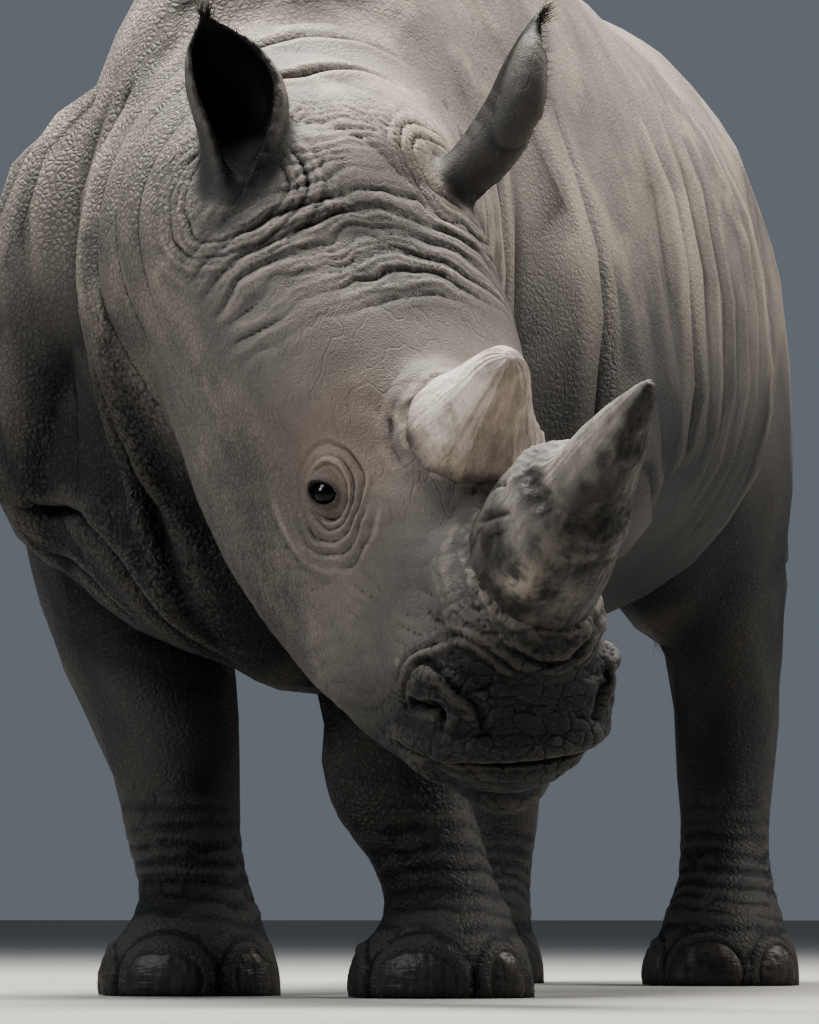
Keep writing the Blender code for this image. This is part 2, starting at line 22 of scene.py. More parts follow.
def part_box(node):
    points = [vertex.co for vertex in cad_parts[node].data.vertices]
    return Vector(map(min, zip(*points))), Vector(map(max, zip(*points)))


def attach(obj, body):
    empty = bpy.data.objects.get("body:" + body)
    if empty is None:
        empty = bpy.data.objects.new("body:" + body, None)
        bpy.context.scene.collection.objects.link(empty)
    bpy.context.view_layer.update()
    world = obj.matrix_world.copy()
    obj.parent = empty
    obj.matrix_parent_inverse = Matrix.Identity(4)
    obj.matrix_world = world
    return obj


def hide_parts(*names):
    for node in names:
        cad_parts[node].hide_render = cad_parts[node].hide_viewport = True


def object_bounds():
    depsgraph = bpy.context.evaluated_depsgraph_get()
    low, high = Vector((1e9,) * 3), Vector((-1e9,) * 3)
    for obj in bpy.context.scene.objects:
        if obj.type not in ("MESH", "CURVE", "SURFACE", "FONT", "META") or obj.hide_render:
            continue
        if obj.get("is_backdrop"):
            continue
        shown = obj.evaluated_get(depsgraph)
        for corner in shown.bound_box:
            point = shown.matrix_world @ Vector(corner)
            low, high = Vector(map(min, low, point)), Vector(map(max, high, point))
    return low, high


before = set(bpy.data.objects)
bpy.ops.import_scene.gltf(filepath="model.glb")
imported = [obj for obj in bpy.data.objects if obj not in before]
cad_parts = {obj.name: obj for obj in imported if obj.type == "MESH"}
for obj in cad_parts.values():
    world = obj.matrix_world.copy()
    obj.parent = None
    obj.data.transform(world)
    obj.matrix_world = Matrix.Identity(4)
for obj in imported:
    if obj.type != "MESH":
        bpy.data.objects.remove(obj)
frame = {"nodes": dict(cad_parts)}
CAD_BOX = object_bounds()

logging.basicConfig(level=logging.INFO, format="%(message)s")
log = logging.getLogger("rhinoceros")

Triple = tuple[float, float, float]
Numbers = np.ndarray | float
ANY = (-math.inf, math.inf)
Socket = bpy.types.NodeSocket

BODY = "root"
UV_NAME = "OFBake"


class Side(Enum):
    """The animal's left and right, as the sign of Y in the head's frame and of X in the build frame."""

    LEFT = 1
    RIGHT = -1


# ---------------------------------------------------------------- pose
HEAD = (
    Matrix.Translation((0.378, -1.552, 0.690))
    @ Matrix.Rotation(math.radians(-36.0), 4, "Z")
    @ Matrix.Rotation(math.radians(56.5), 4, "Y")
    @ Matrix.Rotation(math.radians(15.0), 4, "X")
)
FOREFEET = {Side.LEFT: (0.21, -0.86), Side.RIGHT: (-0.20, -0.74)}
HINDFEET = {Side.LEFT: (0.230, 0.73), Side.RIGHT: (-0.235, 0.93)}
KNEES = {Side.LEFT: (0.130, -0.87, 0.34), Side.RIGHT: (-0.245, -0.72, 0.36)}
EYE_PLACE = (0.014, 0.149, 0.009)
EYE_RADIUS = 0.024
EYE_OPENING = (0.0205, 0.0128, 0.0132)
SOLE_AHEAD = -0.015
BELOW_FLOOR = -0.05
MOUTH_SLOPE = math.radians(45.0)
MOUTH_FRONT = (0.446, -0.010)


def packed_shift() -> Vector:
    """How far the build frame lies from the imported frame, read off the right eye's solid."""
    low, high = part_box("eye_right")
    eye = HEAD @ Vector((EYE_PLACE[0], -EYE_PLACE[1], EYE_PLACE[2]))
    shift = eye - (low + high) / 2
    return Vector((shift.x, shift.y, 0.0))


SHIFT = packed_shift()


# ---------------------------------------------------------------- arithmetic on many points
def eye_frame(side: Side) -> tuple[np.ndarray, np.ndarray, np.ndarray, np.ndarray]:
    """An eye's middle, the line of its lids, the way up from it and the way out, in the head's frame."""
    s = side.value
    out = np.array((0.20, s * 0.85, 0.42))
    out /= np.linalg.norm(out)
    along = np.array((0.71, -s * 0.44, 0.55))
    along -= out * (along @ out)
    along /= np.linalg.norm(along)
    rise = np.cross(out, along)
    rise *= np.sign(rise[2])
    return np.array((EYE_PLACE[0], s * EYE_PLACE[1], EYE_PLACE[2])), along, rise, out


def lid_gap(points: np.ndarray, side: Side) -> np.ndarray:
    """How far points of the head's frame lie from an eye's middle, where 1 is the edge of the lids."""
    centre, along, rise, out = eye_frame(side)
    spots = points - centre
    a, b, c = spots @ along, spots @ rise, spots @ out
    half, top, bottom = EYE_OPENING
    lid = np.where(b > 0, b / top, -b / bottom)
    gap = np.sqrt(np.abs(a / half) ** 2.2 + np.abs(lid) ** 1.8)
    return np.where((np.hypot(a, b) < 0.05) & (c > -0.01), gap, 9.0)


def moved(points: np.ndarray, matrix: Matrix) -> np.ndarray:
    """Points taken through a matrix."""
    rows = np.array(matrix)
    return points @ rows[:3, :3].T + rows[:3, 3]


def to_head(points: np.ndarray) -> np.ndarray:
    """Points of the build frame, in the head's frame."""
    return moved(points, HEAD.inverted())


def from_head(points: np.ndarray) -> np.ndarray:
    """Points of the head's frame, in the build frame."""
    return moved(points, HEAD)


def step(low: float, high: float, values: np.ndarray) -> np.ndarray:
    """A smooth rise from 0 at low to 1 at high."""
    t = np.clip((values - low) / (high - low), 0, 1)
    return t * t * (3 - 2 * t)


def bell(values: np.ndarray, width: float) -> np.ndarray:
    """A bell of height 1 and the given half-width."""
    return np.exp(-((values / width) ** 2))


def pleats(phase: np.ndarray, sharp: float = 0.5) -> np.ndarray:
    """Broad rounded ridges, at 1, with a narrow groove, at 0, wherever the phase is a whole number."""
    return np.abs(np.sin(phase * math.pi)) ** sharp


def ridges(
    phase: np.ndarray,
    spacing: float,
    height: float,
    *strengths: Numbers,
    sharp: float = 0.5,
    level: float = 0.75,
) -> np.ndarray:
    """How far pleats stand out of the hide.

    Args:
        phase: how far each point lies across them.
        spacing: from one groove to the next.
        height: from the grooves' floor to the ridges' tops.
        strengths: how strong they are at each point.
        sharp: how narrow the grooves are.
        level: the share of the height that lies under the hide's own level.

    Returns:
        The amount for each point.
    """
    return math.prod(strengths, start=(pleats(phase / spacing, sharp) - level) * height)


def from_skull(head: np.ndarray, drop: float) -> np.ndarray:
    """How far each point lies from a line along the head, the given height below the head's own."""
    axis = np.clip(head[:, 0], -0.42, 0.40)
    return np.linalg.norm(head - np.stack([axis, 0 * axis, 0 * axis - drop], axis=1), axis=1)


def within(points: np.ndarray, *limits: tuple[float, float]) -> np.ndarray:
    """True for points between the limits of each axis in turn."""
    return np.all([(v > low) & (v < high) for v, (low, high) in zip(points.T, limits)], axis=0)


def distance(points: np.ndarray, place: Sequence[float]) -> np.ndarray:
    """How far each point lies from a place."""
    return np.linalg.norm(points - np.array(place, float), axis=1)


def spline(values: Sequence, count: int) -> np.ndarray:
    """A Catmull-Rom curve through rows of numbers.

    Args:
        values: the rows the curve passes through.
        count: how many even steps it is read at.

    Returns:
        One row for each step.
    """
    rows = np.array(values, float)
    padded = np.vstack([2 * rows[0] - rows[1], rows, 2 * rows[-1] - rows[-2]])
    place = np.linspace(0, len(rows) - 1, count)
    span = np.minimum(place.astype(int), len(rows) - 2)
    t = (place - span)[:, None]
    a, b, c, d = (padded[span + k] for k in range(4))
    return 0.5 * (2 * b + (c - a) * t + (2 * a - 5 * b + 4 * c - d) * t**2 + (3 * b - a - 3 * c + d) * t**3)


PRIME = 2246822519
LARGE_PRIME = 3266489917
AXIS_PRIMES = (374761393, 668265263, PRIME)
MASK = np.uint64(0xFFFFFFFF)


@dataclass(frozen=True)
class Grain:
    """Seeded randomness fixed in space."""

    seed: int = 0

    def hashed(self, cells: np.ndarray, salt: int = 0) -> np.ndarray:
        """A number from 0 to 1 for each cell of a lattice."""
        key = cells.astype(np.int64).astype(np.uint64)
        x, y, z = (key[..., axis] * np.uint64(prime) for axis, prime in enumerate(AXIS_PRIMES))
        mixed = (x + y + z + np.uint64((self.seed * 31 + salt) * LARGE_PRIME)) & MASK
        mixed = ((mixed ^ (mixed >> np.uint64(15))) * np.uint64(PRIME)) & MASK
        mixed = ((mixed ^ (mixed >> np.uint64(13))) * np.uint64(LARGE_PRIME)) & MASK
        return (mixed ^ (mixed >> np.uint64(16))) / float(MASK)

    def waves(self, points: np.ndarray, size: float, octaves: int = 1) -> np.ndarray:
        """Smooth noise.

        Args:
            points: where it is read.
            size: the width of its largest lumps.
            octaves: how many finer layers are added.

        Returns:
            Values from about -1 to 1.
        """
        total = np.zeros(len(points))
        for octave in range(octaves):
            place = points * (2**octave / size) + 31.7 * octave
            base = np.floor(place)
            t = place - base
            t = t * t * (3 - 2 * t)
            value = np.zeros(len(points))
            for corner in np.ndindex(2, 2, 2):
                weight = np.prod(np.where(corner, t, 1 - t), axis=1)
                value += weight * self.hashed(base + corner)
            total += (2 * value - 1) * 0.5**octave
        return total

    def cells(self, points: np.ndarray, size: float) -> tuple[np.ndarray, np.ndarray]:
        """Scattered cells.

        Args:
            points: where they are read.
            size: the cells' mean width.

        Returns:
            The distance to the nearest seed, and how much nearer it is than the next, both in cell widths.
        """
        place = points / size
        base = np.floor(place)
        first = np.full(len(points), 9.0)
        second = np.full(len(points), 9.0)
        for corner in np.ndindex(3, 3, 3):
            cell = base + np.array(corner) - 1
            seeds = cell + np.stack([self.hashed(cell, salt) for salt in (1, 2, 3)], axis=1)
            reach = np.linalg.norm(place - seeds, axis=1)
            second = np.minimum(second, np.maximum(first, reach))
            first = np.minimum(first, reach)
        return first, second - first


# ---------------------------------------------------------------- meshes
@dataclass
class Ring:
    """One cross-section: centre, half-width, reach up and down, pull-in of the top, and squareness."""

    at: Sequence[float]
    width: float
    up: float
    down: float
    taper: float = 0.0
    square: float = 2.1


@dataclass
class Shells:
    """Closed shells collected into one mesh."""

    frame: Matrix = field(default_factory=lambda: Matrix.Identity(4))
    points: list[np.ndarray] = field(default_factory=list)
    faces: list[tuple[int, ...]] = field(default_factory=list)
    count: int = 0

    def add(self, points: np.ndarray, faces: Iterable[Sequence[int]]) -> None:
        """Add one shell given in the current frame."""
        self.points.append(moved(points, self.frame))
        self.faces.extend(tuple(int(k) + self.count for k in face) for face in faces)
        self.count += len(points)

    def add_rows(self, rows: np.ndarray, ends: bool = True) -> None:
        """Add a tube from rows of points, closed at both ends."""
        height, sides = rows.shape[:2]
        grid = np.arange(height * sides).reshape(height, sides)
        ahead = np.roll(grid, -1, axis=1)
        quads = np.stack([grid[:-1], ahead[:-1], ahead[1:], grid[1:]], axis=-1).reshape(-1, 4).tolist()
        if ends:
            quads += [grid[0][::-1].tolist(), grid[-1].tolist()]
        self.add(rows.reshape(-1, 3), quads)

    def loft(self, rings: Sequence[Ring], up: Triple = (0, 0, 1), steps: int = 6, sides: int = 40) -> None:
        """Add a tube through the rings.

        Args:
            rings: the cross-sections, in order.
            up: the direction that each ring's up and down reach along.
            steps: rows from one ring to the next.
            sides: points round each row.
        """
        numbers = [[*r.at, r.width, r.up, r.down, r.taper, r.square] for r in rings]
        rows = spline(numbers, steps * (len(rings) - 1) + 1)
        turns = np.linspace(0, 2 * math.pi, sides, endpoint=False)
        cos, sin = np.cos(turns), np.sin(turns)
        loops = []
        for row, tangent in zip(rows, np.gradient(rows[:, :3], axis=0)):
            across = np.cross(tangent, up)
            across /= np.linalg.norm(across)
            upward = np.cross(across, tangent)
            upward /= np.linalg.norm(upward)
            width, above, below, taper, square = row[3:]
            power = 2 / square
            x = width * np.sign(cos) * np.abs(cos) ** power * (1 - taper * sin)
            z = np.where(sin > 0, above, below) * np.sign(sin) * np.abs(sin) ** power
            loops.append(row[:3] + np.outer(x, across) + np.outer(z, upward))
        self.add_rows(np.array(loops))

    def ball(
        self, at: Triple, radii: Triple, turn: Triple = (0, 0, 0), rounds: tuple[int, int] = (48, 32)
    ) -> None:
        """Add an ellipsoid, turned about its own X, Y and Z by angles in degrees."""
        shape = Matrix.Translation(at)
        for angle, axis in zip(turn, "XYZ"):
            shape = shape @ Matrix.Rotation(math.radians(angle), 4, axis)
        shape = shape @ Matrix.Diagonal((*radii, 1))
        polar = np.linspace(0, math.pi, rounds[1] + 1)[1:-1]
        round_about = np.linspace(0, 2 * math.pi, rounds[0], endpoint=False)
        ring = np.stack([np.cos(round_about), np.sin(round_about)], axis=1)
        rows = np.array([np.c_[ring * math.sin(a), np.full(len(ring), math.cos(a))] for a in polar])
        poles = moved(np.array([(0.0, 0.0, 1.0), (0.0, 0.0, -1.0)]), shape)
        grid = np.arange(rows.shape[0] * rows.shape[1]).reshape(rows.shape[:2])
        ahead = np.roll(grid, -1, axis=1)
        faces = np.stack([grid[:-1], grid[1:], ahead[1:], ahead[:-1]], axis=-1).reshape(-1, 4).tolist()
        top, bottom = grid.size, grid.size + 1
        faces += [(top, a, b) for a, b in zip(grid[0], ahead[0])]
        faces += [(bottom, b, a) for a, b in zip(grid[-1], ahead[-1])]
        self.add(np.vstack([moved(rows, shape).reshape(-1, 3), poles]), faces)

    def sheet(self, outer: np.ndarray, inner: np.ndarray) -> None:
        """Add a closed shell between the two faces of a bent sheet, each an array of rows of points."""
        rows = np.concatenate([outer, inner[:, ::-1]], axis=1)
        self.add_rows(rows, ends=False)
        height, sides = rows.shape[:2]
        half = sides // 2
        start = self.count - height * sides
        caps = []
        for row, order in ((0, 1), (height - 1, -1)):
            base = start + row * sides
            for k in range(half - 1):
                caps.append((base + k, base + k + 1, base + sides - 2 - k, base + sides - 1 - k)[::order])
        self.faces.extend(caps)

    def finish(self, name: str) -> bpy.types.Object:
        """The collected shells as an object with faces outwards."""
        data = bpy.data.meshes.new(name)
        data.from_pydata(np.concatenate(self.points).tolist(), [], self.faces)
        with editing(data) as mesh:
            bmesh.ops.recalc_face_normals(mesh, faces=mesh.faces)
        return linked(name, data)


@contextmanager
def editing(data: bpy.types.Mesh) -> Iterator[bmesh.types.BMesh]:
    """A mesh opened for editing and written back at the end."""
    mesh = bmesh.new()
    mesh.from_mesh(data)
    yield mesh
    mesh.to_mesh(data)
    mesh.free()


def cut_level(mesh: bmesh.types.BMesh, height: float) -> None:
    """Cut a closed mesh off flat below a height."""
    geometry = [*mesh.verts, *mesh.edges, *mesh.faces]
    level = {"plane_co": (0, 0, height), "plane_no": (0, 0, -1)}
    cut = bmesh.ops.bisect_plane(mesh, geom=geometry, clear_outer=True, **level)
    rim = [e for e in cut["geom_cut"] if isinstance(e, bmesh.types.BMEdge)]
    bmesh.ops.holes_fill(mesh, edges=rim)


def linked(name: str, data: bpy.types.Mesh) -> bpy.types.Object:
    """A new object in the scene."""
    obj = bpy.data.objects.new(name, data)
    bpy.context.scene.collection.objects.link(obj)
    return obj


def settle(obj: bpy.types.Object) -> None:
    """Turn an object's modifiers into plain mesh."""
    graph = bpy.context.evaluated_depsgraph_get()
    data = bpy.data.meshes.new_from_object(obj.evaluated_get(graph))
    obj.modifiers.clear()
    old, obj.data = obj.data, data
    bpy.data.meshes.remove(old)


def weld(obj: bpy.types.Object, voxel: float, smoothing: int) -> None:
    """Weld overlapping shells into one skin and soften the joins."""
    remesh = obj.modifiers.new("weld", "REMESH")
    remesh.mode = "VOXEL"
    remesh.voxel_size = voxel
    smooth = obj.modifiers.new("soften", "SMOOTH")
    smooth.factor = 0.5
    smooth.iterations = smoothing
    settle(obj)


def read_rows(items: Sequence, key: str, width: int, kind: type = np.float32) -> np.ndarray:
    """One row of numbers for each item of a mesh's list."""
    rows = np.empty(width * len(items), kind)
    items.foreach_get(key, rows)
    return rows.reshape(-1, width)


def get_points(data: bpy.types.Mesh) -> np.ndarray:
    """A mesh's vertices."""
    return read_rows(data.vertices, "co", 3).astype(float)


def set_points(data: bpy.types.Mesh, points: np.ndarray) -> None:
    """Move a mesh's vertices."""
    data.vertices.foreach_set("co", points.astype(np.float32).ravel())
    data.update()


def get_normals(data: bpy.types.Mesh) -> np.ndarray:
    """A mesh's vertex normals."""
    return read_rows(data.vertex_normals, "vector", 3).astype(float)


def get_edges(data: bpy.types.Mesh) -> np.ndarray:
    """A mesh's edges as pairs of vertices."""
    return read_rows(data.edges, "vertices", 2, np.int32)


def relaxed(values: np.ndarray, edges: np.ndarray, rounds: int, weight: Numbers = 1.0) -> np.ndarray:
    """Values averaged with those of their neighbours along a mesh's edges."""
    size = len(values)
    one, other = edges.T
    degree = np.maximum(np.bincount(edges.ravel(), minlength=size), 1)
    for _ in range(rounds):
        sums = [np.bincount(one, v[other], size) + np.bincount(other, v[one], size) for v in values.T]
        values = values + (np.stack(sums, axis=1) / degree[:, None] - values) * 0.5 * weight
    return values


def write_field(data: bpy.types.Mesh, name: str, values: np.ndarray) -> None:
    """Store one number for each vertex under a name that materials can read."""
    layer = data.attributes.get(name) or data.attributes.new(name, "FLOAT", "POINT")
    layer.data.foreach_set("value", values.astype(np.float32))


def place_piece(obj: bpy.types.Object, finish: "Finish | None", slot: str, *nodes: str) -> bpy.types.Object:
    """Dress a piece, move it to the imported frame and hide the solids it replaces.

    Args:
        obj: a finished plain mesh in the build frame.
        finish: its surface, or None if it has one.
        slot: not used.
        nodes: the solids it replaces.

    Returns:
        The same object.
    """
    obj.data.shade_smooth()
    if finish is not None:
        obj.data.materials.append(finish.material())
    obj.data.transform(Matrix.Translation(-SHIFT))
    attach(obj, BODY)
    if nodes:
        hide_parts(*nodes)
    log.info("%-24s %7d triangles", obj.name, sum(len(f.vertices) - 2 for f in obj.data.polygons))
    return obj


# ---------------------------------------------------------------- materials
Value = Socket | float | Sequence
Sockets = bpy.types.NodeOutputs


@dataclass
class Graph:
    """A short way of writing node trees."""

    tree: bpy.types.NodeTree

    def feed(self, socket: Socket, value: Value) -> None:
        """Link a socket, or set its plain value."""
        if isinstance(value, bpy.types.NodeSocket):
            self.tree.links.new(value, socket)
        else:
            socket.default_value = value

    def add(self, kind: str, inputs: dict | None = None, **settings: object) -> bpy.types.Node:
        """A node with its inputs fed and its settings made."""
        node = self.tree.nodes.new(kind)
        for key, value in settings.items():
            setattr(node, key, value)
        for key, value in (inputs or {}).items():
            self.feed(node.inputs[key], value)
        return node

    def math(self, kind: str, a: Value, b: Value = 0.0, c: Value = 0.0) -> Socket:
        """One sum."""
        return self.first("ShaderNodeMath", {0: a, 1: b, 2: c}, operation=kind)

    def times(self, a: Value, b: Value) -> Socket:
        """A product."""
        return self.math("MULTIPLY", a, b)

    def first(self, kind: str, inputs: dict | None = None, **settings: str) -> Socket:
        """The first output of a new node."""
        return self.add(kind, inputs, **settings).outputs[0]

    def vector(self, kind: str, inputs: dict) -> Socket:
        """One sum of vectors."""
        return self.first("ShaderNodeVectorMath", inputs, operation=kind)

    def ramp(
        self,
        value: Value,
        low: Value,
        high: Value,
        start: float = 0,
        end: float = 1,
        curve: str = "SMOOTHSTEP",
    ) -> Socket:
        """A change from start to end as the value goes from low to high."""
        inputs = {"Value": value, "From Min": low, "From Max": high, "To Min": start, "To Max": end}
        return self.add("ShaderNodeMapRange", inputs, interpolation_type=curve).outputs["Result"]

    def mix(self, share: Value, a: Value, b: Value) -> Socket:
        """Two colours mixed."""
        node = self.add("ShaderNodeMix", data_type="RGBA", blend_type="MIX", clamp_factor=True)
        for index, value in ((0, share), (6, a), (7, b)):
            self.feed(node.inputs[index], value)
        return node.outputs[2]

    def layers(self, colour: Value, *coats: tuple[Value, Value]) -> Socket:
        """A colour under coats, each given by its share and its own colour."""
        for share, over in coats:
            colour = self.mix(share, colour, over)
        return colour

    def noise(self, vector: Value, scale: Value, detail: float = 3.0, rough: float = 0.5) -> Socket:
        """Cloudy noise, from 0 to 1."""
        inputs = {"Vector": vector, "Scale": scale, "Detail": detail, "Roughness": rough}
        return self.add("ShaderNodeTexNoise", inputs).outputs["Fac"]

    def attributes(self, *names: str) -> Iterator[Socket]:
        """Numbers stored on the mesh."""
        return (self.add("ShaderNodeAttribute", attribute_name=name).outputs["Fac"] for name in names)

    def place(self, turn: Matrix | None = None, scale: Triple = (1, 1, 1)) -> Socket:
        """The surface's own place, optionally as seen from a turned frame, and stretched."""
        place = self.add("ShaderNodeTexCoord").outputs["Object"]
        if turn is not None:
            where = {"Vector": place, "Location": turn.translation - SHIFT, "Rotation": turn.to_euler()}
            place = self.first("ShaderNodeMapping", where, vector_type="TEXTURE")
        if scale != (1, 1, 1):
            place = self.first("ShaderNodeMapping", {"Vector": place, "Scale": scale})
        return place

    def bump(self, height: Value, depth: float, below: Value | None = None) -> Socket:
        """A normal that follows a height, laid over another."""
        inputs = {"Height": height, "Distance": depth} | ({} if below is None else {"Normal": below})
        return self.first("ShaderNodeBump", inputs)


class Pattern(Enum):
    """The patterns that several finishes share: each one's name, its inputs' defaults and its outputs."""

    PEBBLES = ("Hide pebbles", {"Density": 90.0, "Crack": 0.14}, ("Height", "Crack"))
    CREASES = ("Hide creases", {"Density": 14.0, "Width": 0.05}, ("Height", "Crack"))
    FIBRES = ("Horn fibres", {"Density": 160.0, "Length": 0.05}, ("Height", "Streak"))
    GRIME = ("Dust and grime", {"Density": 6.0, "Cover": 0.5}, ("Patches", "Specks"))

    def group(self) -> bpy.types.NodeTree:
        """The pattern's node group, made once."""
        name, inputs, outputs = self.value
        tree = bpy.data.node_groups.get(name)
        if tree is None:
            tree = bpy.data.node_groups.new(name, "ShaderNodeTree")
            tree.interface.new_socket("Vector", in_out="INPUT", socket_type="NodeSocketVector")
            for key, default in inputs.items():
                socket = tree.interface.new_socket(key, in_out="INPUT", socket_type="NodeSocketFloat")
                socket.default_value = default
            for key in outputs:
                tree.interface.new_socket(key, in_out="OUTPUT", socket_type="NodeSocketFloat")
            graph = Graph(tree)
            values = BUILDERS[self](graph, graph.add("NodeGroupInput").outputs)
            graph.add("NodeGroupOutput", dict(zip(outputs, values)))
        return tree

    def lay(self, graph: Graph, vector: Value, *values: float) -> bpy.types.NodeOutputs:
        """The pattern in one material, with its own values."""
        node = graph.add("ShaderNodeGroup", node_tree=self.group())
        for key, value in zip(("Vector", *self.value[1]), (vector, *values)):
            graph.feed(node.inputs[key], value)
        return node.outputs


def pebbles(graph: Graph, source: Sockets) -> tuple[Socket, ...]:
    """Swollen polygons with thin cracks between them."""
    inputs = {"Vector": source["Vector"], "Scale": source["Density"]}
    cells = graph.add("ShaderNodeTexVoronoi", inputs, feature="DISTANCE_TO_EDGE")
    edge = cells.outputs["Distance"]
    height = graph.ramp(edge, 0.0, graph.times(source["Crack"], 3.0), curve="SMOOTHERSTEP")
    return height, graph.ramp(edge, 0.0, source["Crack"], 1.0, 0.0, "LINEAR")


def creases(graph: Graph, source: Sockets) -> tuple[Socket, ...]:
    """Long wandering creases."""
    value = graph.noise(source["Vector"], source["Density"], 2.0, 0.55)
    apart = graph.math("ABSOLUTE", graph.math("SUBTRACT", value, 0.5))
    line = graph.ramp(apart, 0.0, source["Width"], 1.0, 0.0)
    return graph.math("SUBTRACT", 1.0, line), line


def fibres(graph: Graph, source: Sockets) -> tuple[Socket, ...]:
    """Long packed fibres along Z."""
    stretch = graph.first("ShaderNodeCombineXYZ", {0: 1.0, 1: 1.0, 2: source["Length"]})
    drawn = graph.vector("MULTIPLY", {0: source["Vector"], 1: stretch})
    height = graph.noise(drawn, graph.times(source["Density"], 0.4), 5.0, 0.72)
    return height, graph.ramp(height, 0.36, 0.62)


def grime(graph: Graph, source: Sockets) -> tuple[Socket, ...]:
    """Dusty patches and stains."""
    cloud = graph.noise(source["Vector"], source["Density"], 4.0, 0.66)
    low = graph.math("SUBTRACT", 0.75, graph.times(source["Cover"], 0.5))
    patches = graph.ramp(cloud, low, graph.math("ADD", low, 0.18))
    specks = graph.noise(source["Vector"], graph.times(source["Density"], 40.0), 1.0, 0.7)
    return patches, graph.ramp(specks, 0.56, 0.72)


BUILDERS: dict[Pattern, Callable[[Graph, Sockets], tuple[Socket, ...]]] = {
    Pattern.PEBBLES: pebbles, Pattern.CREASES: creases, Pattern.FIBRES: fibres, Pattern.GRIME: grime,
}


@dataclass(frozen=True)
class Finish:
    """A named surface."""

    name: str = "plain"

    def material(self) -> bpy.types.Material:
        """The finish's material, made once."""
        made = bpy.data.materials.get(self.name)
        if made is None:
            made = bpy.data.materials.new(self.name)
            made.use_nodes = True
            made.node_tree.nodes.clear()
            graph = Graph(made.node_tree)
            surface = graph.first("ShaderNodeBsdfPrincipled", self.dress(graph))
            graph.add("ShaderNodeOutputMaterial", {"Surface": surface})
        return made

    def dress(self, graph: Graph) -> dict[str, Value]:
        """The shader's inputs, which each finish has of its own."""
        return {}


def colour(*screen: float) -> tuple[float, ...]:
    """A colour from its screen values, 0 to 255, as linear light."""
    shares = (value / 255 for value in screen)
    return (*(v / 12.92 if v <= 0.04045 else ((v + 0.055) / 1.055) ** 2.4 for v in shares), 1.0)


@dataclass(frozen=True)
class HideFinish(Finish):
    """Thick bare skin: pebbled and creased, dusty above with painted light on the upward faces and a painted
    highlight on the ridges, slate-dark on the legs and muzzle partly as painted shade, and with painted shade
    in the fold hollows, inside the ear cups, under the body and on the chest.
    """

    name: str = "rhinoceros hide"
    base: tuple = colour(126, 120, 113)
    # The pale of dusty hide, also laid on as painted light on upward faces and as a painted highlight on
    # ridges.
    pale: tuple = colour(184, 172, 158)
    deep: tuple = colour(82, 80, 78)
    # The legs' and muzzle's own wet dark, which also carries painted shade under the body and on the chest.
    slate: tuple = colour(27, 32, 36)
    # Dark of the cracks between the pebbles, and painted shade in the hollows of the folds.
    crease: tuple = colour(30, 27, 26)
    blush: tuple = colour(150, 127, 113)
    # Near-black of the ear tips' hair and the lid rims, also painted shade inside the ear cups.
    inner_ear: tuple = colour(26, 22, 22)

    def dress(self, graph: Graph) -> dict[str, Value]:
        """Colours, roughness and relief of the hide."""
        place = graph.place()
        upright = graph.first("ShaderNodeMapping", {"Vector": place, "Scale": (1.0, 1.0, 0.55)})
        fold, dark, dust, net = graph.attributes("fold", "dark", "dust", "net")
        ear, rim, rosy = graph.attributes("ear", "rim", "rosy")

        wander = graph.noise(place, 34.0, 0.0).node.outputs["Color"]
        bent = graph.vector("ADD", {0: place, 1: graph.vector("SCALE", {0: wander, "Scale": 0.0045})})
        cells = Pattern.PEBBLES.lay(graph, bent, 104.0, 0.12)
        lines = Pattern.CREASES.lay(graph, upright, 17.0, 0.018)
        dirt = Pattern.GRIME.lay(graph, place, 5.0, 0.55)
        cloud = graph.noise(place, 3.2, 4.0, 0.6)

        # Painted shade: the hollows of the folds, read off the mesh's own cavity, are darkened.
        hollow = graph.ramp(fold, 0.06, 0.85)
        # Ridges painted paler, part dusty tone and part painted highlight, less where the hide is dark.
        proud = graph.times(graph.ramp(fold, -0.05, -0.65), graph.ramp(dark, 0.0, 1.0, 1.0, 0.25))
        crack = graph.math("MAXIMUM", graph.times(cells["Crack"], net), graph.times(lines["Crack"], 0.10))
        skin = graph.layers(
            self.base,
            (graph.ramp(cloud, 0.34, 0.66), self.deep),
            # Dusty upward faces, partly painted light falling from above.
            (graph.times(dust, graph.ramp(dirt["Patches"], 0, 1, 0.30, 0.72)), self.pale),
            (graph.times(rosy, 0.50), self.blush),
            # Slate: the legs' and muzzle's own dark with some painted shade, and painted shade under the body
            # and on the chest.
            (graph.times(dark, graph.ramp(cloud, 0.3, 0.7, 1.0, 0.88)), self.slate),
            # Painted highlight, with dusty tone, on the ridges.
            (graph.times(proud, 0.42), self.pale),
            (graph.times(crack, 0.36), self.crease),
            # Painted shade in the fold hollows.
            (graph.times(hollow, 0.80), self.crease),
            (graph.times(dirt["Specks"], 0.07), self.pale),
            # Painted shade inside the ear cups; dark hair at the ear tips and dark lid rims.
            (graph.math("MAXIMUM", ear, graph.times(rim, 0.85)), self.inner_ear),
        )
        rough = graph.ramp(graph.math("ADD", crack, hollow), 0.0, 1.0, 0.60, 0.86)

        fine = graph.noise(place, 420.0, 1.0, 0.6)
        relief = graph.times(cells["Height"], graph.times(net, 0.0019))
        relief = graph.math("MULTIPLY_ADD", lines["Height"], 0.0004, relief)
        relief = graph.math("MULTIPLY_ADD", fine, 0.0011, relief)
        surface = {"Base Color": skin, "Roughness": rough, "Normal": graph.bump(relief, 1.0)}
        return surface | {"Specular IOR Level": 0.42}


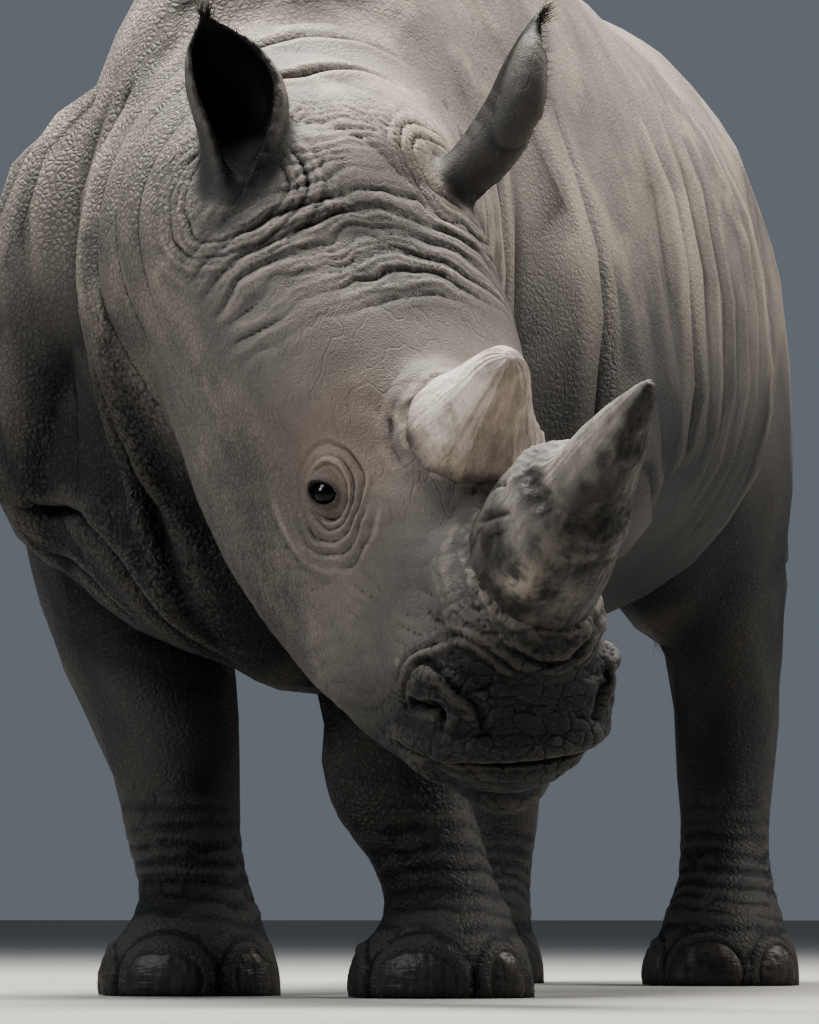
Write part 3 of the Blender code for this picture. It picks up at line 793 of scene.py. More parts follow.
@dataclass(frozen=True)
class HornFinish(Finish):
    """Worn packed fibre: dusty above, darker below from stains and painted shade, with darker strands,
    blackened fibre and chalky rubbed patches, a painted shadow round the foot and a painted highlight on one
    side.
    """

    name: str = "rhinoceros horn"
    base: tuple = colour(162, 155, 147)
    strand: tuple = colour(106, 101, 96)
    # Dark of stains, and of painted shade.
    stain_and_shade_dark: tuple = colour(37, 37, 36)
    # Near-black of blackened fibre, and of painted shadow round the horn's foot.
    soot_and_shadow_black: tuple = colour(18, 17, 16)
    # Pale of rubbed patches, and of a painted highlight.
    scuff_and_highlight_pale: tuple = colour(186, 175, 163)

    def dress(self, graph: Graph) -> dict[str, Value]:
        """Colours, roughness and relief of the horn."""
        head = graph.place(HEAD)
        stain_and_shade, soot_and_shadow, worn = graph.attributes("stain_and_shade", "soot_and_shadow", "worn")
        fibre = Pattern.FIBRES.lay(graph, head, 230.0, 0.09)
        dirt = Pattern.GRIME.lay(graph, head, 17.0, 0.6)
        wave = graph.noise(head, 24.0, 5.0, 0.65)
        # Rubbed pale patches, and on the plain horn a painted highlight on one side.
        scuffs_and_highlight = graph.math("MAXIMUM", worn, graph.times(dirt["Patches"], 0.16))
        horn = graph.layers(
            self.base,
            (graph.times(fibre["Streak"], 0.45), self.strand),
            (graph.times(graph.ramp(wave, 0.58, 0.40), 0.35), self.strand),
            # Stains, and painted shade low down and on one side.
            (graph.times(stain_and_shade, graph.ramp(wave, 0.36, 0.60, 1.0, 0.80)), self.stain_and_shade_dark),
            # Rubbed pale, and a painted highlight.
            (graph.times(scuffs_and_highlight, graph.ramp(wave, 0.36, 0.60)), self.scuff_and_highlight_pale),
            # Blackened fibre, and a painted shadow round the horn's foot.
            (graph.times(soot_and_shadow, graph.ramp(fibre["Height"], 0.35, 0.60, 1.0, 0.55)), self.soot_and_shadow_black),
            (graph.times(dirt["Specks"], 0.22), self.stain_and_shade_dark),
        )
        rough = graph.ramp(fibre["Height"], 0.35, 0.65, 0.48, 0.72)
        relief = graph.math("MULTIPLY_ADD", fibre["Height"], 0.0034, graph.times(wave, 0.0062))
        return {"Base Color": horn, "Roughness": rough, "Normal": graph.bump(relief, 1.0)}


@dataclass(frozen=True)
class NailFinish(Finish):
    """Thick dull nail with growth lines and a chipped, muddy edge."""

    name: str = "rhinoceros nail"
    base: tuple = colour(58, 55, 52)
    pale: tuple = colour(96, 90, 82)
    mud: tuple = colour(40, 36, 32)

    def dress(self, graph: Graph) -> dict[str, Value]:
        """Colours, roughness and relief of a nail."""
        place = graph.place()
        strands = Pattern.FIBRES.lay(graph, place, 240.0, 0.12)
        dirt = Pattern.GRIME.lay(graph, place, 22.0, 0.55)
        height = graph.add("ShaderNodeSeparateXYZ", {0: place}).outputs["Z"]
        rings = graph.noise(graph.place(None, (0.25, 0.25, 1.0)), 230.0, 2.0)
        nail = graph.layers(
            self.base,
            (graph.times(strands["Streak"], 0.4), self.pale),
            (graph.times(dirt["Patches"], 0.5), self.mud),
            (graph.ramp(height, 0.016, 0.002, 0.0, 0.7), self.mud),
        )
        rough = graph.ramp(dirt["Patches"], 0, 1, 0.42, 0.72)
        normal = graph.bump(rings, 0.0012, graph.bump(strands["Height"], 0.0016))
        return {"Base Color": nail, "Roughness": rough, "Normal": normal}


@dataclass(frozen=True)
class EyeFinish(Finish):
    """A wet dark-brown eye."""

    name: str = "rhinoceros eye"
    pupil: tuple = colour(6, 5, 5)
    iris: tuple = colour(30, 20, 14)
    rim: tuple = colour(12, 9, 8)
    white: tuple = colour(26, 20, 18)

    def dress(self, graph: Graph) -> dict[str, Value]:
        """Pupil, iris, dark rim and the brown white of the eye, under a clear coat."""
        reach, turn = graph.attributes("reach", "turn")
        spokes = {0: graph.times(turn, 9.0), 1: graph.times(reach, 60.0)}
        rays = graph.noise(graph.first("ShaderNodeCombineXYZ", spokes), 2.2, 3.0)
        eye = graph.layers(
            self.rim,
            (graph.ramp(rays, 0.35, 0.68), self.iris),
            (graph.ramp(reach, 0.0058, 0.0050), self.pupil),
            (graph.ramp(reach, 0.0112, 0.0128), self.rim),
            (graph.ramp(reach, 0.0140, 0.0170), self.white),
        )
        rough = graph.ramp(graph.noise(graph.place(), 330.0, 3.0), 0.3, 0.7, 0.14, 0.26)
        coat = {"Coat Weight": 0.45, "Coat Roughness": 0.04, "IOR": 1.30}
        return {"Base Color": eye, "Roughness": rough} | coat


@dataclass(frozen=True)
class BristleFinish(Finish):
    """Stiff dark hair."""

    name: str = "rhinoceros bristle"
    root: tuple = colour(30, 25, 22)
    worn: tuple = colour(84, 68, 54)

    def dress(self, graph: Graph) -> dict[str, Value]:
        """Dark strands, browner in patches."""
        strands = Pattern.FIBRES.lay(graph, graph.place(), 300.0, 0.1)
        hair = graph.mix(graph.times(strands["Streak"], 0.6), self.root, self.worn)
        rough = graph.ramp(strands["Height"], 0.3, 0.7, 0.42, 0.62)
        return {"Base Color": hair, "Roughness": rough, "Normal": graph.bump(strands["Height"], 0.0004)}


@dataclass(frozen=True)
class FloorFinish(Finish):
    """A plain pale floor."""

    name: str = "studio floor"
    base: tuple = colour(176, 174, 170)

    def dress(self, graph: Graph) -> dict[str, Value]:
        """One even colour."""
        return {"Base Color": self.base, "Roughness": 0.9}


# ---------------------------------------------------------------- the flesh as one form
@dataclass
class Ear:
    """One ear: where it stands, where its tip points, which way it opens, its bow and its tip's bend."""

    root: Triple
    axis: Triple
    opening: Triple
    bow: Triple
    bend: Triple
    length: float = 0.285
    depth: float = 0.85
    wall: float = 0.014
    profile: tuple[Triple, ...] = (
        (0.00, 0.047, 179),
        (0.13, 0.046, 174),
        (0.26, 0.051, 152),
        (0.42, 0.060, 132),
        (0.62, 0.067, 117),
        (0.80, 0.053, 104),
        (0.90, 0.031, 94),
        (1.00, 0.008, 84),
    )

    def directions(self) -> tuple[Vector, Vector, Vector]:
        """Along the ear, across its opening, and out of its opening."""
        axis = Vector(self.axis).normalized()
        opening = Vector(self.opening)
        opening = (opening - axis * opening.dot(axis)).normalized()
        return axis, axis.cross(opening), opening

    def centre(self, share: float) -> Vector:
        """A point on the ear's middle line, at a share of its length."""
        straight = HEAD @ Vector(self.root) + self.directions()[0] * (share * self.length)
        return straight + Vector(self.bend) * share**3 + Vector(self.bow) * (4 * share * (1 - share))

    def row(self, share: float, radius: float, half: float, inset: float = 0.0) -> np.ndarray:
        """Points across the rolled sheet, from one rim round the back to the other.

        Args:
            share: where along the ear.
            radius: the sheet's radius there.
            half: half its opening angle in degrees.
            inset: how far inside the outer face.

        Returns:
            The points.
        """
        _, across, opening = (np.array(v) for v in self.directions())
        angles = math.pi + np.linspace(-1, 1, 33) * math.radians(min(half, 179))
        size = radius - inset
        return (
            np.array(self.centre(share))
            + np.outer(np.cos(angles) * size * self.depth, opening)
            + np.outer(np.sin(angles) * size, across)
        )

    def add_to(self, form: Shells) -> None:
        """Add the ear to a form, as a tube at its root that opens into a pointed cup."""
        rows = spline(self.profile, 30)
        outer = np.array([self.row(s, r, h) for s, r, h in rows])
        inner = np.array([self.row(s, r, h, min(self.wall, r * 0.7)) for s, r, h in rows])
        form.sheet(outer, inner)

    def width_at(self, share: float | np.ndarray) -> float | np.ndarray:
        """The sheet's radius at a share of the ear's length."""
        return np.interp(share, [p[0] for p in self.profile], [p[1] for p in self.profile])

    def covers(self, points: np.ndarray) -> np.ndarray:
        """How surely each point lies on the ear above its root, from 0 to 1."""
        on_ear = np.zeros(len(points))
        for share in np.linspace(0.18, 1.0, 12):
            radius, reach = self.width_at(share), distance(points, self.centre(share))
            on_ear = np.maximum(on_ear, step(radius * 1.25 + 0.006, radius * 1.05 + 0.002, reach))
        return on_ear

    def hollow(self, points: np.ndarray) -> np.ndarray:
        """How far each point lies inside the ear's cup, from 0 to 1."""
        axis = np.array(self.directions()[0])
        inside = np.zeros(len(points))
        for share in np.linspace(0.12, 1.0, 12):
            radius, offset = self.width_at(share), points - np.array(self.centre(share))
            along = offset @ axis
            reach = np.linalg.norm(offset - np.outer(along, axis), axis=1)
            inside = np.maximum(inside, step(radius * 0.93, radius * 0.80, reach) * (np.abs(along) < 0.022))
        return inside


EARS = (
    Ear((-0.405, -0.150, 0.05), (-0.07, 0.06, 1.0), (0.30, -0.95, 0.05), (0.018, 0.005, 0.0), (-0.03, 0, 0)),
    Ear(
        (-0.405, 0.150, 0.05), (0.72, 0.12, 0.72), (0.80, 0.30, -0.52), (0.012, 0, -0.010),
        (-0.078, 0, 0.040), 0.305, 0.78
    ),
)


@dataclass
class Toe:
    """One nail on a foot: its bearing round the foot from the front, and its half-width and height."""

    name: str
    bearing: float
    width: float
    height: float


@dataclass
class Feet:
    """The four soles and the toes on them."""

    toes: tuple[Toe, ...] = (
        Toe("outer", 58, 0.047, 0.052),
        Toe("middle", 0, 0.062, 0.058),
        Toe("inner", -58, 0.047, 0.052),
    )
    reach: tuple[float, float] = (0.118, 0.128)

    def centres(self) -> Iterator[tuple[str, Side, Vector]]:
        """Each foot's name, side and the middle of its sole."""
        for side in Side:
            for end, spots, splay in (("front", FOREFEET, 0.0), ("hind", HINDFEET, 0.010)):
                x, y = spots[side]
                centre = Vector((x + side.value * splay, y + SOLE_AHEAD, 0))
                yield f"{end}_{side.name.lower()}", side, centre

    def toe_frame(self, centre: Vector, side: Side, toe: Toe) -> Matrix:
        """A frame on the rim of the foot with Y pointing straight out of the toe."""
        bearing = math.radians(toe.bearing) * side.value
        out = Vector((math.sin(bearing) * self.reach[0], -math.cos(bearing) * self.reach[1], 0))
        return Matrix.Translation(centre + out) @ Matrix.Rotation(bearing + math.pi, 4, "Z")


FEET = Feet()


@dataclass
class FleshForm:
    """The whole flesh: softened masses, then the face, ears and toes, welded into one skin."""

    coarse_voxel: float = 0.016
    fine_voxel: float = 0.008
    trunk: tuple = (
        # y, top, bottom, height of the widest line, half-width and pull-in of the top
        (-1.14, 1.30, 0.60, 0.96, 0.24, 0.00),
        (-1.02, 1.54, 0.47, 0.93, 0.33, 0.12),
        (-0.82, 1.70, 0.50, 0.92, 0.43, 0.30),
        (-0.50, 1.69, 0.55, 0.93, 0.455, 0.20),
        (-0.12, 1.60, 0.56, 0.97, 0.45, 0.08),
        (0.25, 1.57, 0.57, 1.00, 0.42, 0.05),
        (0.58, 1.60, 0.66, 1.05, 0.35, 0.05),
        (0.88, 1.57, 0.80, 1.10, 0.31, 0.10),
        (1.08, 1.46, 0.92, 1.13, 0.24, 0.08),
        (1.22, 1.28, 1.00, 1.13, 0.12, 0.00),
    )
    skull: tuple = (
        # x, top, bottom, height of the widest line, half-width, squareness
        (-0.52, 0.08, -0.26, -0.06, 0.17, 2.3),
        (-0.40, 0.12, -0.32, -0.06, 0.222, 2.5),
        (-0.28, 0.125, -0.37, -0.07, 0.220, 2.5),
        (-0.12, 0.12, -0.40, -0.09, 0.205, 2.6),
        (0.04, 0.125, -0.375, -0.09, 0.166, 2.7),
        (0.16, 0.125, -0.305, -0.08, 0.146, 2.7),
        (0.26, 0.12, -0.245, -0.06, 0.130, 2.6),
        (0.34, 0.09, -0.195, -0.05, 0.128, 2.5),
        (0.40, 0.045, -0.15, -0.05, 0.112, 2.4),
        (0.435, 0.0, -0.10, -0.05, 0.08, 2.2),
    )
    tail: tuple[Ring, ...] = (
        Ring((0, 1.10, 1.30), 0.075, 0.07, 0.07),
        Ring((0, 1.235, 1.22), 0.050, 0.045, 0.045),
        Ring((0, 1.282, 1.06), 0.036, 0.034, 0.034),
        Ring((0.005, 1.275, 0.90), 0.029, 0.027, 0.027),
        Ring((0.01, 1.262, 0.78), 0.024, 0.022, 0.022),
        Ring((0.01, 1.260, 0.70), 0.030, 0.016, 0.016),
        Ring((0.01, 1.260, 0.62), 0.016, 0.010, 0.010),
    )

    def add_trunk(self, form: Shells) -> None:
        """Barrel, withers, shoulder blades and haunches."""
        form.loft([Ring((0, y, mid), half, top - mid, mid - low, pull)
                   for y, top, low, mid, half, pull in self.trunk])
        form.ball((0.02, -0.80, 1.33), (0.18, 0.42, 0.39))
        form.ball((-0.33, -0.92, 1.02), (0.105, 0.22, 0.22))
        form.ball((-0.335, -0.92, 0.86), (0.105, 0.22, 0.26))
        form.ball((-0.252, -0.99, 1.04), (0.140, 0.20, 0.24))
        for side in (-1, 1):
            form.ball((side * 0.29, -0.70, 1.00), (0.15, 0.28, 0.40), (8, -14 * side, 0))
            form.ball((side * 0.33, -0.72, 0.84), (0.13, 0.21, 0.24))
            form.ball((side * 0.16, 0.70, 0.98), (0.155, 0.29, 0.42), (-8, 0, 0))
            form.ball((side * 0.12, 0.92, 1.08), (0.15, 0.25, 0.34))

    def add_neck(self, form: Shells) -> None:
        """The thick neck from the withers and the brisket up to the nape."""
        form.loft([
            Ring((0.0, -0.66, 1.10), 0.36, 0.52, 0.50, 0.2),
            Ring((0.01, -0.90, 1.08), 0.34, 0.52, 0.52, 0.2),
            Ring((0.06, -1.13, 1.03), 0.295, 0.40, 0.44, 0.12),
            Ring(HEAD @ Vector((-0.44, 0, -0.08)), 0.24, 0.22, 0.27),
            Ring(HEAD @ Vector((-0.25, 0, -0.08)), 0.19, 0.18, 0.24),
        ])
        form.ball((0.02, -0.98, 0.60), (0.12, 0.20, 0.17))

    def add_legs(self, form: Shells, side: Side) -> None:
        """Upper arm, knee, cannon and spread forefoot; thigh, hock, cannon and spread hind foot."""
        s = side.value
        x, y = FOREFEET[side]
        kx, ky, kz = KNEES[side]
        foreleg = (
            ((s * 0.29, -0.74, 1.00), 0.13, 0.22, 0.20),
            ((s * 0.33, -0.71, 0.78), 0.145, 0.18, 0.18),
            ((kx * 0.8 + s * 0.112, ky + 0.03, 0.56), 0.130, 0.135, 0.135),
            ((kx, ky, kz), 0.098, 0.106, 0.104),
            ((0.5 * (x + kx), y + 0.01, 0.23), 0.083, 0.090, 0.092),
            ((x * 0.85 + kx * 0.15, y + 0.01, 0.145), 0.082, 0.088, 0.090),
            ((x, y, 0.085), 0.108, 0.120, 0.105),
            ((x, y + SOLE_AHEAD, 0.035), 0.130, 0.146, 0.112),
            ((x, y + SOLE_AHEAD, BELOW_FLOOR), 0.128, 0.142, 0.110),
        )
        x, y = HINDFEET[side]
        hindleg = (
            ((s * 0.16, 0.80, 1.12), 0.14, 0.30, 0.32),
            ((s * 0.19, 0.78, 0.88), 0.14, 0.25, 0.28),
            ((s * 0.215, 0.5 * (y + 0.82), 0.67), 0.110, 0.165, 0.165),
            ((x - s * 0.004, y + 0.07, 0.46), 0.086, 0.103, 0.118),
            ((x - s * 0.006, y + 0.06, 0.30), 0.079, 0.086, 0.094),
            ((x, y + 0.03, 0.17), 0.079, 0.084, 0.086),
            ((x + s * 0.006, y, 0.095), 0.104, 0.112, 0.100),
            ((x + s * 0.010, y + SOLE_AHEAD, 0.040), 0.126, 0.140, 0.110),
            ((x + s * 0.010, y + SOLE_AHEAD, BELOW_FLOOR), 0.124, 0.136, 0.108),
        )
        for leg in (foreleg, hindleg):
            form.loft([Ring(*row) for row in leg], up=(0, -1, 0))

    def add_face(self, form: Shells) -> None:
        """The bosses under the horns, the lips and chin, the brows and the nostril wings."""
        form.ball((0.010, 0, 0.095), (0.13, 0.092, 0.05))
        form.ball((0.250, 0, 0.090), (0.135, 0.110, 0.07))
        form.ball((0.375, 0, -0.050), (0.080, 0.120, 0.078))
        form.ball((0.372, 0.018, -0.145), (0.065, 0.072, 0.040))
        for side in (-1, 1):
            form.ball((-0.005, side * 0.121, 0.020), (0.075, 0.042, 0.05), (0, 0, side * -8))
            form.ball((0.325, side * 0.092, -0.008), (0.075, 0.045, 0.055))

    def build(self) -> bpy.types.Object:
        """The welded form in the build frame, with its feet still reaching through the floor."""
        body = Shells()
        self.add_trunk(body)
        self.add_neck(body)
        for side in Side:
            self.add_legs(body, side)
        body.frame = HEAD
        body.loft([Ring((x, 0, mid), half, top - mid, mid - low, 0, square)
                   for x, top, low, mid, half, square in self.skull])
        masses = body.finish("masses")
        weld(masses, self.coarse_voxel, 14)

        whole = Shells()
        whole.loft(self.tail, up=(0, -1, 0))
        for ear in EARS:
            ear.add_to(whole)
        for _, side, centre in FEET.centres():
            for toe in FEET.toes:
                whole.frame = FEET.toe_frame(centre, side, toe)
                whole.ball((0, -0.028, 0.022), (toe.width + 0.004, 0.040, toe.height + 0.012))
        whole.frame = HEAD
        self.add_face(whole)
        parts = whole.finish("flesh")
        with editing(parts.data) as mesh:
            mesh.from_mesh(masses.data)
        bpy.data.objects.remove(masses)
        weld(parts, self.fine_voxel, 10)
        return parts


# ---------------------------------------------------------------- folds of the hide
@dataclass(frozen=True)
class Fold:
    """A furrow along a path on the hide, with a raised lip on one side that leans over it."""

    path: tuple[Triple, ...]
    width: float = 0.022
    depth: float = 0.012
    lip: float = 0.008
    towards: Triple = (0, 0, 0)
    lean: float = 0.0
    mirrored: bool = False

    def mirror(self, axis: int) -> "Fold":
        """Its mirror image along one axis."""
        turn = np.ones(3)
        turn[axis] = -1
        flip = tuple(tuple(turn * p) for p in self.path)
        return Fold(flip, self.width, self.depth, self.lip, tuple(turn * self.towards), self.lean)

    def copies(self) -> Iterator["Fold"]:
        """The fold, and its mirror image across the trunk where it has one."""
        yield self
        if self.mirrored:
            yield self.mirror(0)

    def on_head(self) -> Iterator["Fold"]:
        """The fold on both sides of the head, its path given in the head's frame."""
        for fold in (self, self.mirror(1)):
            path = tuple(map(tuple, from_head(np.array(fold.path))))
            yield Fold(path, fold.width, fold.depth, fold.lip)


# Paths in the build frame. Each is drawn onto the hide before it is used.
BODY_FOLDS = (
    # the heavy edge of the neck, hanging over the shoulder, down to the brisket
    Fold(
        ((-0.14, -1.22, 1.25), (-0.17, -1.28, 1.10), (-0.175, -1.31, 0.98), (-0.155, -1.31, 0.88),
         (-0.135, -1.27, 0.79), (-0.11, -1.20, 0.69), (-0.07, -1.18, 0.59), (-0.03, -1.10, 0.50)),
        0.034, 0.026, 0.018, (0.6, -0.75, 0.1), 0.012,
    ),
    # the edge of the chest's hide over the right foreleg
    Fold(
        ((-0.43, -0.86, 0.77), (-0.38, -0.93, 0.77), (-0.33, -0.98, 0.76), (-0.27, -1.08, 0.70),
         (-0.19, -1.16, 0.64), (-0.13, -1.16, 0.56), (-0.08, -1.12, 0.50), (-0.03, -1.04, 0.46)),
        0.034, 0.016, 0.014, (-0.1, -0.45, 0.85), 0.010,
    ),
    Fold(((-0.30, -1.00, 0.63), (-0.22, -1.06, 0.58), (-0.15, -1.05, 0.52)), 0.024, 0.008, 0.006),
    # the left side of the neck, pressed together by the turn of the head
    Fold(((0.36, -0.78, 1.26), (0.39, -0.80, 1.13), (0.424, -0.82, 0.98), (0.428, -0.85, 0.86),
          (0.41, -0.87, 0.76), (0.36, -0.92, 0.68)), 0.030, 0.020, 0.014, (0.3, -0.9, 0), 0.010),
    Fold(((0.30, -1.02, 1.22), (0.34, -1.04, 1.08), (0.35, -1.06, 0.92), (0.33, -1.08, 0.78)),
         0.032, 0.011, 0.009),
    Fold(((0.28, -1.16, 1.16), (0.32, -1.18, 1.04), (0.33, -1.20, 0.90)), 0.028, 0.010, 0.008),
    # creases across the nape
    Fold(((0.07, -1.40, 1.16), (0.14, -1.41, 1.235), (0.17, -1.385, 1.248), (0.21, -1.33, 1.256),
          (0.27, -1.26, 1.22)), 0.018, 0.009, 0.005),
    Fold(((0.00, -1.34, 1.20), (0.08, -1.33, 1.31), (0.13, -1.28, 1.33), (0.19, -1.22, 1.31),
          (0.25, -1.15, 1.24)), 0.022, 0.007, 0.005),
    Fold(((-0.12, -1.16, 1.30), (-0.02, -1.16, 1.42), (0.08, -1.12, 1.45), (0.18, -1.05, 1.40)),
         0.030, 0.006, 0.006),
    # behind the shoulder, over the elbow, before the thigh, and behind the haunch
    Fold(((0.33, -0.40, 1.46), (0.43, -0.36, 1.24), (0.45, -0.36, 1.02), (0.43, -0.42, 0.82),
          (0.35, -0.52, 0.66)),
         0.040, 0.008, 0.006, (0, -1, 0), 0.004, True),
    Fold(((0.24, -0.48, 0.60), (0.34, -0.53, 0.68), (0.42, -0.62, 0.73), (0.44, -0.76, 0.76)),
         0.030, 0.010, 0.008, (0, 0, 1), 0.004, True),
    Fold(((0.26, 0.38, 1.28), (0.35, 0.34, 1.12), (0.38, 0.34, 0.94), (0.35, 0.40, 0.80),
          (0.27, 0.48, 0.70)),
         0.044, 0.011, 0.008, (0, -1, 0), 0.006, True),
    Fold(((0.30, 0.50, 1.14), (0.34, 0.50, 1.00), (0.32, 0.54, 0.86), (0.26, 0.60, 0.76)),
         0.032, 0.006, 0.005, mirrored=True),
    Fold(((0.15, 1.16, 1.34), (0.21, 1.10, 1.20), (0.25, 1.04, 1.06), (0.25, 1.00, 0.92),
          (0.22, 0.98, 0.80)),
         0.040, 0.008, 0.006, (0, -1, 0), 0.004, True),
    Fold(((0.10, 0.98, 0.70), (0.20, 1.00, 0.68), (0.29, 0.92, 0.68), (0.32, 0.80, 0.70)),
         0.028, 0.008, 0.006, mirrored=True),
    Fold(((0.22, 0.72, 1.42), (0.29, 0.66, 1.30), (0.32, 0.62, 1.18)), 0.044, 0.004, 0.003, mirrored=True),
)


# Paths in the head's frame, on its right side. A furrow of negative depth is a roll.
NOSE_ROLLS = (
    # the wing that curls over the nostril and down before it
    Fold(((0.314, -0.133, -0.015), (0.320, -0.133, 0.020), (0.348, -0.130, 0.054), (0.374, -0.113, 0.058),
          (0.388, -0.100, 0.034), (0.392, -0.092, 0.000)), 0.034, -0.0135, 0.0),
    # the side of the upper lip under the nostril
    Fold(((0.300, -0.134, -0.112), (0.345, -0.134, -0.062), (0.385, -0.118, -0.028)), 0.040, -0.0090, 0.0),
    # the roll above the wing
    Fold(((0.262, -0.138, -0.030), (0.285, -0.134, 0.045), (0.345, -0.120, 0.104), (0.385, -0.085, 0.090)),
         0.024, -0.0045, 0.0),
)
NOSE_FURROWS = (
    Fold(((0.297, -0.135, -0.069), (0.289, -0.135, -0.028), (0.299, -0.130, 0.033), (0.352, -0.120, 0.087),
          (0.382, -0.100, 0.074), (0.401, -0.085, 0.034), (0.402, -0.080, 0.002)), 0.013, 0.0085, 0.0025),
    Fold(((0.270, -0.140, -0.060), (0.265, -0.138, 0.010), (0.300, -0.125, 0.085), (0.350, -0.090, 0.110),
          (0.380, -0.040, 0.085), (0.385, 0.030, 0.080)), 0.011, 0.0055, 0.0020),
    Fold(((0.345, -0.070, 0.120), (0.365, -0.020, 0.105), (0.368, 0.050, 0.100)), 0.010, 0.0050, 0.0018),
    Fold(((0.318, -0.134, -0.105), (0.348, -0.132, -0.085), (0.370, -0.124, -0.066)),
         0.010, 0.0040, 0.0015),
)
# The middle of each horn's foot, and the foot's reach along and across the head.
HORN_SEATS = (((0.250, 0.009, 0.12), (0.098, 0.083)), ((0.022, 0.009, 0.12), (0.084, 0.084)))
NOSTRIL = Fold(
    ((0.300, -0.136, -0.070), (0.330, -0.135, -0.024), (0.362, -0.124, 0.010),
     (0.374, -0.112, -0.008)), 0.019, 0.030, 0.0
)


@dataclass
class Sculptor:
    """Works folds, wrinkles, lids, nostrils and lips into the form's points."""

    data: bpy.types.Mesh
    points: np.ndarray = field(init=False)
    normals: np.ndarray = field(init=False)
    edges: np.ndarray = field(init=False)
    grain: Grain = Grain(7)
    lid_thickness: float = 0.0028
    lid_radius: float = 0.036
    lid_rings: tuple = ((0.0350, 0.0046), (0.0455, 0.0036), (0.0600, 0.0036))
    lid_bags: tuple = ((0.076, 0.0030), (0.094, 0.0015))

    def __post_init__(self) -> None:
        """Read the mesh."""
        self.edges = get_edges(self.data)
        self.points = get_points(self.data)
        self.refresh()

    def refresh(self) -> None:
        """Write the points and read the new normals, slightly softened."""
        set_points(self.data, self.points)
        self.normals = relaxed(get_normals(self.data), self.edges, 2)
        self.normals /= np.linalg.norm(self.normals, axis=1, keepdims=True)

    def push(self, where: np.ndarray, amount: np.ndarray) -> None:
        """Move the chosen points along their normals."""
        self.points[where] += self.normals[where] * amount[:, None]

    # ------------------------------------------------ body
    def crease(self, fold: Fold) -> None:
        """Press one furrow into the hide and raise its lip."""
        path = spline(fold.path, 8 * len(fold.path))
        reach = fold.width * 4 + 0.08
        near = np.flatnonzero(within(self.points, *zip(path.min(axis=0) - reach, path.max(axis=0) + reach)))
        if not len(near):
            return
        spots = self.points[near]
        anchors = spots[np.argmin(np.stack([distance(spots, p) for p in path]), axis=1)]
        length = np.linalg.norm(np.diff(path, axis=0), axis=1).sum()
        anchors = spline(anchors[::6], max(24, int(4 * length / fold.width)))
        gaps = np.stack([distance(spots, p) for p in anchors])
        nearest = np.argmin(gaps, axis=0)
        share = nearest / (len(anchors) - 1)
        apart = np.min(gaps, axis=0) * (1 + 0.25 * self.grain.waves(spots, 0.07, 2))
        taper = np.sqrt(np.clip(np.sin(math.pi * np.clip(share, 0.02, 0.98)), 0, 1))
        across, side = np.zeros(3), np.zeros(len(spots))
        if any(fold.towards):
            across = np.array(fold.towards) / np.linalg.norm(fold.towards)
            side = np.clip(((spots - anchors[nearest]) @ across) / (apart + 1e-6), -1, 1)
        groove = -fold.depth * bell(apart, fold.width * 0.42)
        lip = fold.lip * np.where(side >= 0, 1.0, 0.45) * bell(apart - fold.width, fold.width * 0.75)
        self.push(near, (groove + lip) * taper)
        over = bell(apart * side - fold.width * 0.7, fold.width * 0.6) * bell(apart, fold.width * 1.6) * taper
        self.points[near] -= np.outer(over * fold.lean, across)

    def ribs(self) -> None:
        """Soft ridges of the ribs under the flank."""
        inside = within(self.points, ANY, (-0.75, 0.60), (0.6, 1.6))
        where = np.flatnonzero(inside & (np.abs(self.points[:, 0]) > 0.2))
        spots = self.points[where]
        _, y, z = spots.T
        bow = y + 0.16 * (1.2 - z) + 0.012 * self.grain.waves(spots, 0.25, 2)
        strength = step(-0.75, -0.45, y) * step(0.58, 0.30, y) * step(0.62, 0.80, z) * step(1.58, 1.36, z)
        strength *= 0.55 + 0.45 * self.grain.waves(spots, 0.22)
        self.push(where, ridges(bow, 0.112, 0.0095, strength, sharp=1.3, level=0.6))

    def rolls(self) -> None:
        """Slack rolls down the sides of the neck and between the forelegs."""
        ahead = to_head(self.points)[:, 0]
        where = np.flatnonzero((self.points[:, 1] < -0.55) & (self.points[:, 2] > 0.45) & (ahead < -0.22))
        spots = self.points[where]
        x, y, z = spots.T
        turn = y * 0.92 - x * 0.38 + 0.10 * (1.1 - z)
        turn = turn + 0.020 * self.grain.waves(spots, 0.22, 2)
        strength = step(-0.60, -0.85, y) * step(-0.26, -0.48, ahead[where])
        strength *= 0.35 + 0.65 * step(-0.2, 0.5, self.grain.waves(spots, 0.35))
        self.push(where, ridges(turn, 0.085, 0.009, strength, sharp=0.6, level=0.7))

    def leg_rings(self) -> None:
        """Ring wrinkles round the ankles, knees and hocks, and a groove over the toes."""
        _, y, z = self.points.T
        where = np.flatnonzero((z < 0.78) & (z > 0.07) & ((y > 0.5) | (y < -0.35)))
        spots = self.points[where]
        _, y, z = spots.T
        tilt = z + 0.12 * (y - np.round(y * 2) / 2) + 0.014 * self.grain.waves(spots, 0.08, 2)
        fine = self.grain.waves(spots, 0.12)
        rings = pleats(tilt / 0.027) * (0.7 + 0.3 * pleats((tilt + 0.004 * fine) / 0.011))
        low = bell(z - 0.17, 0.085) + 0.45 * bell(z - 0.40, 0.10) + 0.25 * bell(z - 0.62, 0.10)
        self.push(where, (rings - 0.7) * 0.0070 * low * (0.55 + 0.45 * fine))
        self.push(where, -0.004 * bell(z - 0.095, 0.016))

    def slack(self) -> None:
        """Uneven swellings of the whole hide, so that no surface is a clean curve."""
        big = self.grain.waves(self.points, 0.24, 2)
        small = self.grain.waves(self.points, 0.075, 2)
        calm = step(0.05, 0.14, self.points[:, 2])
        self.push(np.arange(len(self.points)), (0.0050 * big + 0.0016 * small) * calm)

